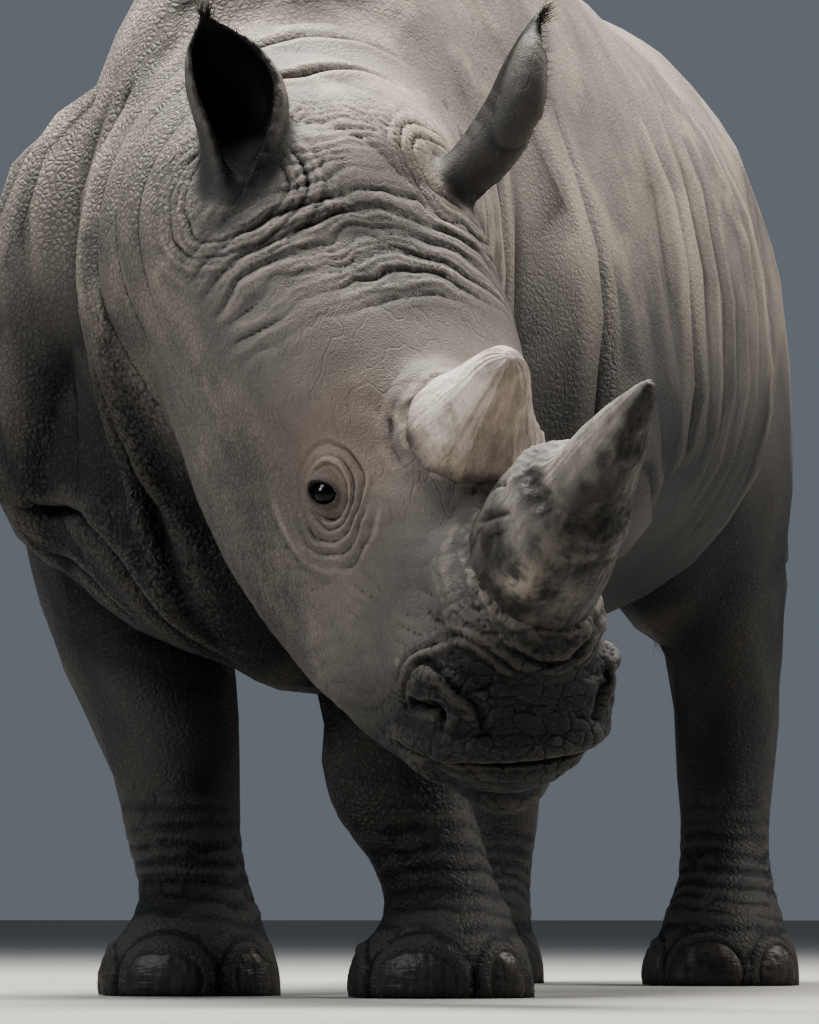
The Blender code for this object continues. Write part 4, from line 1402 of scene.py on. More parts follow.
    def web(self, where: np.ndarray, size: float, depth: float, strength: np.ndarray, squash: Triple) -> None:
        """A net of narrow cracks between flat-topped cells.

        Args:
            where: the points it covers.
            size: the cells' width.
            depth: how far the cracks lie below the cells.
            strength: how strong it is at each point, from 0 to 1.
            squash: how much narrower the cells are along the head's X, Y and Z.
        """
        spots = to_head(self.points[where]) * np.array(squash)
        bend = np.stack([Grain(seed).waves(spots, size * 2.2) for seed in (11, 12, 13)], axis=1)
        _, edge = self.grain.cells(spots + bend * size * 0.6, size)
        patchy = 0.65 + 0.35 * self.grain.waves(spots, size * 5)
        self.push(where, (step(0.0, 0.12, edge) - 0.85) * depth * strength * patchy)

    # ------------------------------------------------ head
    def head_wrinkles(self) -> None:
        """Forehead chevrons, folds round the ear roots, nose and cheek wrinkles."""
        head = to_head(self.points)
        where = np.flatnonzero(within(head, (-0.68, 0.46), (-0.34, 0.34), (-0.45, math.inf)))
        spots = head[where]
        x, y, z = spots.T
        grain = self.grain
        drift = grain.waves(spots, 0.10, 2)
        short = grain.waves(spots, 0.030, 2)
        patchy = step(-0.45, 0.35, grain.waves(spots + 3.0, 0.09, 2))
        aside = np.abs(y)
        off_ear = math.prod(1 - ear.covers(self.points[where]) for ear in EARS)

        across = y - 0.012
        bow = np.where(across > 0, -2.6, -0.35) * across**2
        merge = grain.waves(spots * (1, 0.6, 1) + 5.0, 0.045, 2)
        broken = step(-0.5, 0.3, grain.waves(spots * (1, 0.35, 1) + 9.0, 0.05, 2))
        bend = x + bow + 0.015 * drift + 0.0035 * short + 0.0035 * merge
        zone = step(-0.43, -0.37, x) * step(-0.16, -0.25, x) * step(-0.04, 0.03, z) * step(0.26, 0.17, aside)
        zone = zone * off_ear
        amount = ridges(bend, 0.034, 0.0062, zone, 0.25 + 0.75 * broken, sharp=0.62)
        amount += ridges(bend + 0.004 * short, 0.0120, 0.0027, zone, 0.4 + 0.6 * patchy)
        zone = step(-0.62, -0.50, x) * step(-0.34, -0.44, x) * step(-0.04, 0.03, z) * off_ear
        amount += ridges(bend + 0.006 * short, 0.0140, 0.0034, zone, 0.15 + 0.85 * patchy)

        for ear in EARS:
            root = to_head(np.array([ear.centre(0.10)]))[0]
            reach = distance(spots, root) + 0.010 * drift + 0.003 * short
            zone = step(0.056, 0.072, reach) * step(0.150, 0.10, reach) * off_ear
            amount += ridges(reach, 0.024, 0.0052, zone, 0.35 + 0.65 * patchy)
            amount += ridges(reach, 0.0105, 0.0020, zone)

        nose = x + 1.4 * y * y + 0.45 * z + 0.013 * drift + 0.004 * short
        zone = step(0.315, 0.345, x) * step(0.455, 0.43, x) * step(-0.03, 0.02, z)
        amount += ridges(nose, 0.030, 0.0065, zone, 0.3 + 0.7 * patchy)

        streak = x * 0.8 + z * 0.35 + 0.018 * drift + 0.004 * short
        zone = step(-0.36, -0.24, x) * step(0.18, 0.02, x) * step(-0.06, -0.16, z) * step(0.08, 0.13, aside)
        amount += ridges(streak, 0.024, 0.0013, zone, patchy)

        cheek = x * 0.55 - z + 0.020 * drift + 0.005 * short
        zone = step(0.07, 0.15, x) * step(0.32, 0.24, x) * step(-0.16, -0.05, z) * step(0.08, 0.11, aside)
        amount += ridges(cheek, 0.027, 0.0020, zone, patchy, broken)
        self.push(where, amount)

    def lids(self, side: Side) -> None:
        """Bulging lids drawn over the eye, an almond opening between them, and ring folds round about."""
        centre, along, rise, out = eye_frame(side)
        head = to_head(self.points)
        where = np.flatnonzero(distance(head, centre) < 0.13)
        spots = head[where] - centre
        a, b, c = spots @ along, spots @ rise, spots @ out
        flat = np.sqrt(a * a + b * b)

        oval = np.sqrt(((a - 0.005) / 0.95) ** 2 + (b / 1.08) ** 2)
        oval = oval + 0.0030 * self.grain.waves(spots, 0.035, 2)
        uneven = self.grain.waves(spots + 2.0, 0.045, 2)
        folds = np.zeros(len(a))
        for radius, depth in self.lid_rings:
            ring = oval - radius - 0.0040 * uneven
            folds += -depth * bell(ring, 0.0021) + depth * 0.8 * bell(ring - 0.0052, 0.0040)
        for radius, depth in self.lid_bags:
            ring = oval - radius - 0.007 * uneven
            bag = -depth * bell(ring, 0.0026) + depth * 0.8 * bell(ring - 0.007, 0.005)
            folds += step(0.01, -0.02, b) * bag
        outer = 1 - 0.75 * step(0.2, 0.9, -a / (np.hypot(a, b) + 1e-6))
        folds *= (0.70 + 0.5 * self.grain.waves(spots, 0.05)) * outer
        folds += 0.0040 * bell(oval - 0.036, 0.012) * step(-0.004, 0.012, b)

        dome = np.sqrt(np.clip(self.lid_radius**2 - flat**2, 0, None))
        dome = dome - self.lid_radius + EYE_RADIUS + self.lid_thickness
        raised = 0.5 * (c + dome + np.sqrt((c - dome) ** 2 + 0.005**2))
        raised += folds * step(0.020, 0.031, oval)

        open_shape = lid_gap(head[where], side)
        rim = bell(open_shape - 1.22, 0.16) * 0.0008
        inside = step(1.10, 0.97, open_shape)
        behind = np.sqrt(np.clip((EYE_RADIUS - 0.005) ** 2 - flat**2, 0, None))
        level = (raised + rim) * (1 - inside) + behind * inside
        blend = step(0.125, 0.095, np.linalg.norm(spots, axis=1))
        moved_spots = spots + np.outer((level - c) * blend, out)
        self.points[where] = from_head(moved_spots + centre)

    def mouth(self) -> None:
        """The line of the closed mouth under a broad square upper lip, and a narrower lower lip."""
        head = to_head(self.points)
        where = np.flatnonzero(within(head, (0.22, math.inf), ANY, (-0.26, 0.12)) & (self.points[:, 2] > 0.2))
        x, _, z = head[where].T
        sine, cosine = math.sin(MOUTH_SLOPE), math.cos(MOUTH_SLOPE)
        ahead = (x - MOUTH_FRONT[0]) * cosine + (z - MOUTH_FRONT[1]) * sine
        above = (z - MOUTH_FRONT[1]) * cosine - (x - MOUTH_FRONT[0]) * sine
        above = above + 0.0035 * self.grain.waves(head[where], 0.06, 2) + 0.004
        reach = step(-0.205, -0.160, ahead)
        lips = 0.0075 * bell(above - 0.024, 0.014) + 0.0045 * bell(above + 0.020, 0.010)
        self.push(where, (lips - 0.022 * bell(above, 0.0052)) * reach)
        tuck = step(0.002, -0.014, above) * step(-0.16, -0.10, ahead)
        head = to_head(self.points[where])
        head[:, 1] *= 1 - 0.17 * tuck
        head[:, 0] -= 0.009 * tuck
        self.points[where] = from_head(head)

    def horn_seat(self, centre: Triple, radii: tuple[float, float]) -> None:
        """A crusty collar where the hide meets a horn.

        Args:
            centre: the middle of the horn's foot, in the head's frame.
            radii: the foot's reach along and across the head.
        """
        head = to_head(self.points)
        where = np.flatnonzero((distance(head, centre) < 0.20) & (head[:, 2] > 0.0))
        spots = head[where] - np.array(centre)
        ring = np.sqrt((spots[:, 0] / radii[0]) ** 2 + (spots[:, 1] / radii[1]) ** 2)
        reach = (ring - 1) * (radii[0] + radii[1]) / 2
        drift = self.grain.waves(spots, 0.02, 2)
        reach = reach + 0.003 * drift
        crust = self.grain.waves(spots + 4.0, 0.011, 2)
        lump = 0.4 * step(0.0, 0.8, self.grain.waves(spots, 0.05, 2))
        collar = 0.0040 * bell(reach - 0.005, 0.007) * (0.6 + 0.8 * drift)
        collar += 0.0010 * crust * bell(reach - 0.006, 0.016)
        rolls = 0.0024 * bell(reach - 0.026, 0.007) - 0.0026 * bell(reach - 0.015, 0.0030)
        self.push(where, collar + lump * (rolls - 0.0018 * bell(reach - 0.036, 0.003)))

    def cuticles(self) -> None:
        """A rim of hide round each nail, and a bed under it."""
        for _, side, centre in FEET.centres():
            for toe in FEET.toes:
                place = FEET.toe_frame(centre, side, toe)
                where = np.flatnonzero(distance(self.points, place.translation) < 0.13)
                spots = moved(self.points[where], place.inverted())
                at, radii = NAILS.shape(toe)
                reach = np.linalg.norm((spots - at) / radii, axis=1)
                facing = spots[:, 1] > -0.03
                rim = 0.0045 * bell(reach - 1.10, 0.07) * (spots[:, 2] > 0.012)
                bed = -0.007 * step(1.0, 0.90, reach)
                crease = -0.0030 * bell(reach - 1.28, 0.06)
                self.push(where, (rim + bed + crease) * facing)

    def press(self, folds: Iterable[Fold]) -> None:
        """Crease the hide along each fold, then read its new normals."""
        for fold in folds:
            self.crease(fold)
        self.refresh()

    def sculpt(self) -> None:
        """All of it, from large to small."""
        self.slack()
        self.ribs()
        self.rolls()
        self.refresh()
        self.press(copy for fold in BODY_FOLDS for copy in fold.copies())
        self.leg_rings()
        self.cuticles()
        self.mouth()
        self.refresh()
        self.head_wrinkles()
        for centre, radii in HORN_SEATS:
            self.horn_seat(centre, radii)
        self.refresh()
        for folds in (NOSE_ROLLS, NOSE_FURROWS):
            self.press(copy for fold in folds for copy in fold.on_head())
        for fold in NOSTRIL.on_head():
            self.crease(fold)
        head = to_head(self.points)
        muzzle = step(0.22, 0.32, head[:, 0]) * (self.points[:, 2] > 0.2) * (np.abs(head[:, 1]) < 0.2)
        for fold in NOSTRIL.on_head():
            muzzle *= 1 - bell(distance(self.points, fold.path[1]), 0.03)
        where = np.flatnonzero(muzzle > 0)
        self.web(where, 0.026, 0.0036, muzzle[where], (1.5, 0.75, 1.2))
        spots = (((-0.13, -1.20, 0.60), 0.20), ((-0.1, -1.25, 0.85), 0.22))
        chest = sum(bell(distance(self.points, spot), width) for spot, width in spots)
        chest = np.clip(chest, 0, 1) * step(-0.12, -0.2, head[:, 0])
        where = np.flatnonzero(chest > 0.05)
        self.web(where, 0.014, 0.0024, chest[where], (0.9, 1.2, 0.9))
        for side in Side:
            self.lids(side)
        self.refresh()


# ---------------------------------------------------------------- the hide
@dataclass
class Hide:
    """One skin over all of the flesh."""

    triangles: int = 197000

    def refine(self, data: bpy.types.Mesh) -> None:
        """Split the faces of the head and throat once, and those round the eyes, nostrils and mouth twice."""
        with editing(data) as mesh:
            cut_level(mesh, 0.0)
            for chosen in (self.near_head, self.near_features):
                mesh.verts.ensure_lookup_table()
                mask = chosen(np.array([v.co for v in mesh.verts]))
                edges = [e for e in mesh.edges if mask[e.verts[0].index] and mask[e.verts[1].index]]
                bmesh.ops.subdivide_edges(mesh, edges=edges, cuts=1, use_grid_fill=True)
                mesh.verts.index_update()
        points = get_points(data)
        weight = self.near_head(points).astype(float)[:, None]
        set_points(data, relaxed(points, get_edges(data), 3, weight))

    @staticmethod
    def near_head(points: np.ndarray) -> np.ndarray:
        """True on the head, ears and the front of the throat."""
        throat = distance(points, (-0.14, -1.22, 0.62)) < 0.26
        ears = [distance(points, ear.centre(0.6)) < 0.20 for ear in EARS]
        return np.any([from_skull(to_head(points), 0.08) < 0.34, throat, *ears], axis=0)

    @staticmethod
    def near_features(points: np.ndarray) -> np.ndarray:
        """True round the eyes, nostrils and lips."""
        head = to_head(points)
        ahead, aside, up = EYE_PLACE
        chosen = (distance(head, (0.42, 0.0, 0.02)) < 0.10) & (head[:, 0] > 0.34)
        for s in (-1, 1):
            chosen |= distance(head, (ahead + 0.01, s * aside, up - 0.01)) < 0.085
            chosen |= distance(head, (0.350, s * 0.125, 0.0)) < 0.095
        return chosen

    def build(self) -> bpy.types.Object:
        """The finished skin."""
        obj = FleshForm().build()
        obj.name = "hide"
        self.refine(obj.data)
        log.info("refined to %d faces", len(obj.data.polygons))
        Sculptor(obj.data).sculpt()
        self.paint(obj.data)
        self.thin(obj)
        return place_piece(obj, HideFinish(), "hide", *FLESH_NODES)

    def paint(self, data: bpy.types.Mesh) -> None:
        """Store where the hide is folded, dark, dusty and rosy, and where it lies inside an ear. The fold
        hollows, the underside, the chest and the ear cups are darkened as painted shade, the legs and muzzle
        are dark partly as painted shade, and the upward faces are paler partly as painted light.
        """
        points, edges, normals = get_points(data), get_edges(data), get_normals(data)
        head = to_head(points)
        a, _, c = head.T
        x, y, z = points.T
        up = normals[:, 2]
        grain = Grain(21)
        # The mesh's own cavity: the hide's colour darkens its hollows as painted shade and lightens its
        # ridges.
        fine = np.sum((relaxed(points, edges, 6) - points) * normals, axis=1)
        wide = np.sum((relaxed(points, edges, 40) - points) * normals, axis=1)
        fold = np.clip(fine / 0.0011, -1, 1) * 0.5 + np.clip(wide / 0.0040, -1, 1) * 0.5
        blotch = grain.waves(points, 0.16, 3)
        mottled = step(-0.7, 0.7, grain.waves(points + 3.0, 0.055, 3))
        reach = from_skull(head, 0.06)
        off_head = step(0.27, 0.38, reach)

        # Darker towards the bottom: the wet legs' own colour, partly painted shade.
        legs = step(1.14, 0.70, z + 0.08 * blotch) * off_head
        # Darker muzzle: its own wet colour, partly painted shade.
        muzzle = step(0.24, 0.34, a + 0.02 * blotch - 0.25 * c) * step(0.25, 0.14, c) * (z > 0.2) * (a > 0)
        # Painted shade on faces turned down, under the body.
        under = step(0.25, -0.60, up) * step(1.1, 0.75, z) * (0.5 + 0.5 * off_head)
        # Painted shade on the chest under the neck.
        chest = bell(distance(points, (-0.16, -1.05, 0.60)), 0.32)
        ears = np.max([one.covers(points) for one in EARS], axis=0)
        # The share left light by the legs, the muzzle and the painted shade underneath.
        clean = (1 - legs) * (1 - 0.92 * muzzle) * (1 - 0.75 * under)
        dark = 1 - clean * (1 - 0.85 * chest * off_head) * (1 - 0.70 * ears)

        # Painted shade inside the ear cups.
        ear = np.max([one.hollow(points) for one in EARS], axis=0)
        rims = [bell(distance(points, one.centre(0.98)), 0.045) for one in EARS]
        rim = np.max(rims + [0.9 * step(1.75, 1.15, lid_gap(head, side)) for side in Side], axis=0)
        ahead, aside, above = EYE_PLACE
        spots = [(ahead - 0.03, s * aside, above + 0.06) for s in (-1, 1)]
        rosy = sum(bell(distance(head, spot), 0.10) for spot in spots)

        # Paler on upward faces: dusty, and partly painted light falling from above.
        dust = step(-0.25, 0.75, up + 0.25 * blotch) * step(0.5, 1.0, z)
        dust *= 1 - 0.75 * bell(distance(head, (-0.26, -0.02, 0.13)), 0.16)
        neck = step(-0.85, -1.0, y) * step(-0.28, -0.42, a) * step(0.35, 0.5, z) * step(0.16, -0.02, x)
        cheek = step(-0.50, -0.40, a) * step(0.25, 0.10, a) * step(0.05, -0.05, c) * (y < -0.9)
        pale = np.maximum(neck * (1 - 0.8 * step(0.46, 0.62, reach)), 0.60 * cheek)
        dust = np.maximum(dust, pale * (0.25 + 0.75 * mottled))
        dust *= 1 - 0.5 * bell(distance(head, (-0.02, -0.02, 0.12)), 0.10)

        brow = bell(distance(head, (-0.10, -0.02, 0.13)), 0.20)
        brow = brow + bell(distance(head, (0.12, -0.05, 0.08)), 0.10)
        poll = bell(distance(head, (-0.38, 0.0, 0.13)), 0.20)
        net = 0.28 + 0.72 * np.maximum(neck, 0.85 * cheek * step(0.30, 0.15, x)) + 0.1 * legs
        net = net * (1 - 0.80 * np.clip(brow + poll, 0, 1)) * (1 - 0.6 * muzzle) * (1 - 0.9 * ears)
        parts = {"net": net, "fold": fold, "dark": dark, "ear": ear, "rim": rim, "rosy": rosy, "dust": dust}
        for name, values in parts.items():
            write_field(data, name, values if name == "fold" else np.clip(values, 0, 1))

    def thin(self, obj: bpy.types.Object) -> None:
        """Fewer triangles on the flanks, and most on the head."""
        points = get_points(obj.data)
        head = self.near_head(points)
        features = self.near_features(points)
        weights = np.where(features, 0.10, np.where(head, 0.22, np.where(points[:, 2] < 0.3, 0.7, 1.0)))
        group = obj.vertex_groups.new(name="thinning")
        for weight in np.unique(weights):
            group.add(np.flatnonzero(weights == weight).tolist(), float(weight), "REPLACE")
        obj.data.calc_loop_triangles()
        decimate = obj.modifiers.new("thin", "DECIMATE")
        decimate.ratio = self.triangles / len(obj.data.loop_triangles)
        decimate.vertex_group = group.name
        settle(obj)
        obj.vertex_groups.clear()


FLESH_NODES = (
    "head", "neck", "trunk", "tail", "ear_left", "ear_right",
    "leg_front_left", "leg_front_right", "leg_hind_left", "leg_hind_right",
)


# ---------------------------------------------------------------- horns, nails and eyes
@dataclass
class Horn:
    """A horn of packed fibres standing on the skull."""

    name: str
    table: tuple[tuple[float, float, float, float, float], ...]
    offset: float = 0.009
    steps: int = 9
    sides: int = 150
    seed: int = 3

    def build(self, finish: "HornFinish") -> bpy.types.Object:
        """The horn with its fibres, growth steps and scars worked in."""
        form = Shells()
        rings = [Ring((x, self.offset, z), half, front, back) for x, z, half, front, back in self.table]
        form.loft(rings, up=(1, 0, 0), steps=self.steps, sides=self.sides)
        obj = form.finish(f"{self.name}_fibre")
        points, normals = get_points(obj.data), get_normals(obj.data)
        middles, heights, *_ = zip(*self.table)
        ahead = points[:, 0] - np.interp(points[:, 2], heights, middles)
        aside = points[:, 1] - self.offset
        turn, radius = np.arctan2(aside, ahead), np.hypot(aside, ahead)
        amount = self.relief(points, turn) * step(0.0, 0.032, radius)
        for name, values in self.wear_and_painted_light(points, turn).items():
            write_field(obj.data, name, np.clip(values, 0, 1))
        set_points(obj.data, from_head(points + normals * amount[:, None]))
        return place_piece(obj, finish, "horn", self.name)

    def relief(self, points: np.ndarray, turn: np.ndarray) -> np.ndarray:
        """How far each point stands out of the smooth horn."""
        grain = Grain(self.seed)
        height = points[:, 2]
        strands = np.stack([np.cos(turn) * 0.10, np.sin(turn) * 0.10, height * 0.07], axis=1)
        lumps = grain.waves(points, 0.06, 2)
        thick = grain.waves(strands, 0.016, 2)
        fine = grain.waves(strands, 0.005, 2)
        foot = step(0.24, 0.12, height)
        steps = np.abs(np.sin(height / 0.016 * math.pi + 1.5 * lumps))
        amount = 0.0022 * lumps + (0.0012 + 0.0010 * foot) * thick + 0.0007 * fine
        return amount - 0.0008 * foot * (1 - steps) ** 3

    def wear_and_painted_light(self, points: np.ndarray, turn: np.ndarray) -> dict[str, np.ndarray]:
        """Painted light on the plain horn: painted shade low down and on the side turned to the animal's
        left, a painted shadow round its foot, and a painted highlight higher up on the side turned to the
        animal's right.
        """
        height = points[:, 2] + 0.006 * Grain(self.seed + 2).waves(points, 0.03, 3)
        # Painted shade: darker low down and on the side turned to the animal's left.
        stain_and_shade = 0.75 * step(0.150, 0.118, height) + 0.35 * step(-0.2, 0.9, np.sin(turn))
        # Painted highlight: paler higher up on the side turned to the animal's right.
        worn = 0.65 * step(-0.2, -1.0, np.sin(turn + 0.3)) * step(0.13, 0.17, height)
        # Painted shadow: near-black round the horn's foot.
        return {"stain_and_shade": stain_and_shade, "soot_and_shadow": 0.6 * step(0.124, 0.108, height), "worn": worn}


# Each split: its lower end's angle round the horn, its lowest and highest points, and its half-width.
SPLITS = ((-2.20, 0.182, 0.285, 0.0042), (-1.84, 0.190, 0.262, 0.0022), (-2.62, 0.200, 0.285, 0.0020))
# Each groove round the block: its height and its depth.
GROOVES = ((0.262, 0.0022), (0.232, 0.0016), (0.196, 0.0014))


class FrontHorn(Horn):
    """The front horn: a worn block that ends in a shelf, with a slim spike rising out of it."""

    def knob(self, points: np.ndarray, turn: np.ndarray) -> np.ndarray:
        """Each point's distance from the middle of the knob on the block's right side, in its radii."""
        return np.sqrt(((turn + 0.98) * 0.085 / 0.042) ** 2 + ((points[:, 2] - 0.218) / 0.050) ** 2)

    def cracks(self, points: np.ndarray, turn: np.ndarray) -> np.ndarray:
        """The slanting splits across the block's right shoulder, 1 along their middles."""
        ragged = Grain(self.seed + 5).waves(points, 0.02, 2)
        height = points[:, 2]
        lines = []
        for foot, low, high, width in SPLITS:
            middle = foot + 5.3 * (height - low)
            line = bell((turn - middle) * 0.078 + 0.0014 * ragged, width)
            lines.append(line * step(low, low + 0.02, height) * step(high, high - 0.03, height))
        return np.max(lines, axis=0)

    def relief(self, points: np.ndarray, turn: np.ndarray) -> np.ndarray:
        """The plain relief, the shelf's broken edge, the groove round the spike and a split."""
        amount = super().relief(points, turn)
        grain = Grain(self.seed + 1)
        height = points[:, 2]
        ragged = grain.waves(points, 0.035, 3)
        edge = 0.312 + 0.010 * np.cos(turn) + 0.009 * ragged
        amount += 0.0045 * step(edge - 0.045, edge - 0.006, height) * step(edge + 0.004, edge - 0.004, height)
        amount -= 0.0065 * bell(height - edge - 0.016, 0.010) * (1 + 0.4 * ragged)
        for level, depth in GROOVES:
            amount -= depth * bell(height - level - 0.012 * np.cos(turn + 1.0) - 0.004 * ragged, 0.0028)
        amount -= 0.0080 * self.cracks(points, turn)
        knob = self.knob(points, turn)
        moss = bell(height - edge - 0.004, 0.018) * grain.waves(points, 0.007, 2)
        amount += 0.0090 * np.exp(-(knob**2))
        amount -= 0.0026 * bell(knob - 1.3, 0.25) * step(0.24, 0.20, height)
        return amount + 0.0022 * moss

    def wear_and_painted_light(self, points: np.ndarray, turn: np.ndarray) -> dict[str, np.ndarray]:
        """Dark below and on the spike's left side, both partly stains and partly painted shade; blackened
        round the spike's foot, in the cracks and in a painted shadow round the block's foot; chalky on the
        knob.
        """
        grain = Grain(self.seed + 7)
        height = points[:, 2]
        ragged = grain.waves(points, 0.03, 3)
        edge = 0.318 + 0.010 * np.cos(turn) + 0.010 * ragged
        # Darker on the animal's left side: stains, and painted shade.
        left = step(-1.5, -0.5, turn + 0.25 * ragged) * step(3.0, 2.4, turn)
        # Darker low on the block: stains, and painted shade.
        low = step(0.285, 0.225, height + 0.35 * (turn + 1.9) * 0.03 + 0.012 * ragged)
        stain_and_shade = np.maximum(0.88 * low, left) + 0.5 * step(0.48, 0.56, height)
        moss = bell(height - edge - 0.002, 0.021) * np.clip(0.95 + 0.5 * ragged, 0, 1)
        foot = bell((turn + 0.45) * 0.06, 0.062) * bell(height - 0.345, 0.040)
        # Painted shadow: near-black round the horn's foot, where it meets the hide.
        seat = 0.6 * step(0.130, 0.105, height)
        knob = self.knob(points, turn)
        ring = 0.45 * bell(knob - 1.3, 0.2) * step(0.25, 0.20, height)
        soot_and_shadow = np.max([moss * 0.90, foot, self.cracks(points, turn), seat, ring], axis=0)
        worn = 0.75 * bell(knob - 0.2, 0.60) * step(-0.6, 0.7, grain.waves(points + 1.0, 0.040, 3))
        worn += 0.25 * step(0.30, 0.335, height) * step(-1.2, -1.9, turn)
        return {"stain_and_shade": stain_and_shade, "soot_and_shadow": soot_and_shadow, "worn": worn}


@dataclass
class Nails:
    """The twelve nails."""

    depth: float = 0.026
    middle: float = 0.020
    bottom: float = 0.0015

    def shape(self, toe: Toe) -> tuple[np.ndarray, np.ndarray]:
        """The centre and radii of a nail's dome in its toe's frame."""
        radii = (toe.width, self.depth, toe.height - self.middle + 0.018)
        return np.array((0.0, -0.006, self.middle)), np.array(radii)

    def build(self, finish: "NailFinish") -> None:
        """Each nail: a dome with growth lines, a worn lower edge and a flat sole."""
        for foot, side, centre in FEET.centres():
            for number, toe in enumerate(FEET.toes):
                at, radii = self.shape(toe)
                form = Shells()
                form.ball(tuple(at), tuple(radii), (90, 0, 0), (64, 36))
                node = f"nail_{foot}_{toe.name}"
                obj = form.finish(f"{node}_plate")
                unit = (get_points(obj.data) - at) / radii[[0, 2, 1]]
                points = at + unit / np.maximum(np.linalg.norm(unit, axis=1, keepdims=True), 1e-6) * radii
                grain = Grain(40 + number)
                lines = grain.waves(points * (0.25, 0.25, 1.0), 0.007, 2)
                amount = 0.0009 * grain.waves(points * (1.0, 1.0, 0.12), 0.006, 2) + 0.0007 * lines
                amount = amount + 0.0016 * grain.waves(points, 0.04)
                outward = (points - at) / radii**2
                outward /= np.linalg.norm(outward, axis=1, keepdims=True)
                points = points + outward * (amount - 0.0006)[:, None]
                set_points(obj.data, moved(points, FEET.toe_frame(centre, side, toe)))
                with editing(obj.data) as mesh:
                    cut_level(mesh, self.bottom)
                    bmesh.ops.recalc_face_normals(mesh, faces=mesh.faces)
                place_piece(obj, finish, "nail", node)


NAILS = Nails()


@dataclass
class Eyeball:
    """One eye: a ball with a bulging cornea, looking out and a little forwards."""

    side: Side
    rounds: tuple[int, int] = (72, 48)

    def gaze(self) -> Matrix:
        """The eye's frame, with Z along its line of sight."""
        centre, _, _, out = eye_frame(self.side)
        turn = Vector(out + (0.10, 0, -0.10)).to_track_quat("Z", "Y").to_matrix().to_4x4()
        return Matrix.Translation(centre) @ turn

    def build(self, finish: "EyeFinish") -> bpy.types.Object:
        """The eyeball, with the distance from its pupil's middle stored for its colours."""
        form = Shells()
        form.ball((0, 0, 0), (EYE_RADIUS,) * 3, rounds=self.rounds)
        name = f"eye_{self.side.name.lower()}"
        obj = form.finish(f"{name}_ball")
        points = get_points(obj.data)
        reach = np.hypot(points[:, 0], points[:, 1])
        front = points[:, 2] > 0
        write_field(obj.data, "reach", np.where(front, reach, EYE_RADIUS * 2))
        write_field(obj.data, "turn", np.arctan2(points[:, 1], points[:, 0]))
        cornea = 0.0016 * step(0.0135, 0.004, reach) * front
        points += points / EYE_RADIUS * cornea[:, None]
        set_points(obj.data, from_head(moved(points, self.gaze())))
        return place_piece(obj, finish, "eye", name)


# ---------------------------------------------------------------- bristles
Strand = tuple[np.ndarray, np.ndarray, float]


def strand_tree() -> bpy.types.NodeTree:
    """One bent, tapering strand on each root, laid along the root's direction, as geometry nodes."""
    tree = bpy.data.node_groups.new("Bristles", "GeometryNodeTree")
    kinds = {"Roots": "Geometry", "Thickness": "Float", "Bow": "Float", "Material": "Material"}
    for name, kind in kinds.items():
        tree.interface.new_socket(name, in_out="INPUT", socket_type=f"NodeSocket{kind}")
    tree.interface.new_socket("Strands", in_out="OUTPUT", socket_type="NodeSocketGeometry")
    graph = Graph(tree)
    first = graph.first
    source = graph.add("NodeGroupInput").outputs
    middle = first("ShaderNodeCombineXYZ", {0: source["Bow"], 2: 0.5})
    path = {"Resolution": 4, "Start": (0.0, 0.0, 0.0), "Middle": middle, "End": (0.0, 0.0, 1.0)}
    curve = first("GeometryNodeCurveQuadraticBezier", path)
    along = graph.add("GeometryNodeSplineParameter").outputs["Factor"]
    taper = graph.math("MULTIPLY_ADD", along, -0.85, 1.0)
    ring = first("GeometryNodeCurvePrimitiveCircle", {"Resolution": 3, "Radius": source["Thickness"]})
    tube = {"Curve": curve, "Profile Curve": ring, "Scale": taper, "Fill Caps": True}
    strand = first("GeometryNodeCurveToMesh", tube)
    lie = first("GeometryNodeInputNamedAttribute", {"Name": "lie"}, data_type="FLOAT_VECTOR")
    size = first("GeometryNodeInputNamedAttribute", {"Name": "size"}, data_type="FLOAT")
    laid = first("FunctionNodeAlignRotationToVector", {"Vector": lie}, axis="Z")
    angle = graph.add("FunctionNodeRandomValue", {"Seed": 3}, data_type="FLOAT")
    angle.inputs[3].default_value = 2 * math.pi
    about = {"Axis": (0.0, 0.0, 1.0), "Angle": angle.outputs[1]}
    spun = {"Rotation": laid, "Rotate By": first("FunctionNodeAxisAngleToRotation", about)}
    turn = first("FunctionNodeRotateRotation", spun, rotation_space="LOCAL")
    inputs = {"Points": source["Roots"], "Instance": strand, "Rotation": turn, "Scale": size}
    many = first("GeometryNodeInstanceOnPoints", inputs)
    real = first("GeometryNodeRealizeInstances", {"Geometry": many})
    done = first("GeometryNodeSetMaterial", {"Geometry": real, "Material": source["Material"]})
    graph.add("NodeGroupOutput", {"Strands": done})
    return tree


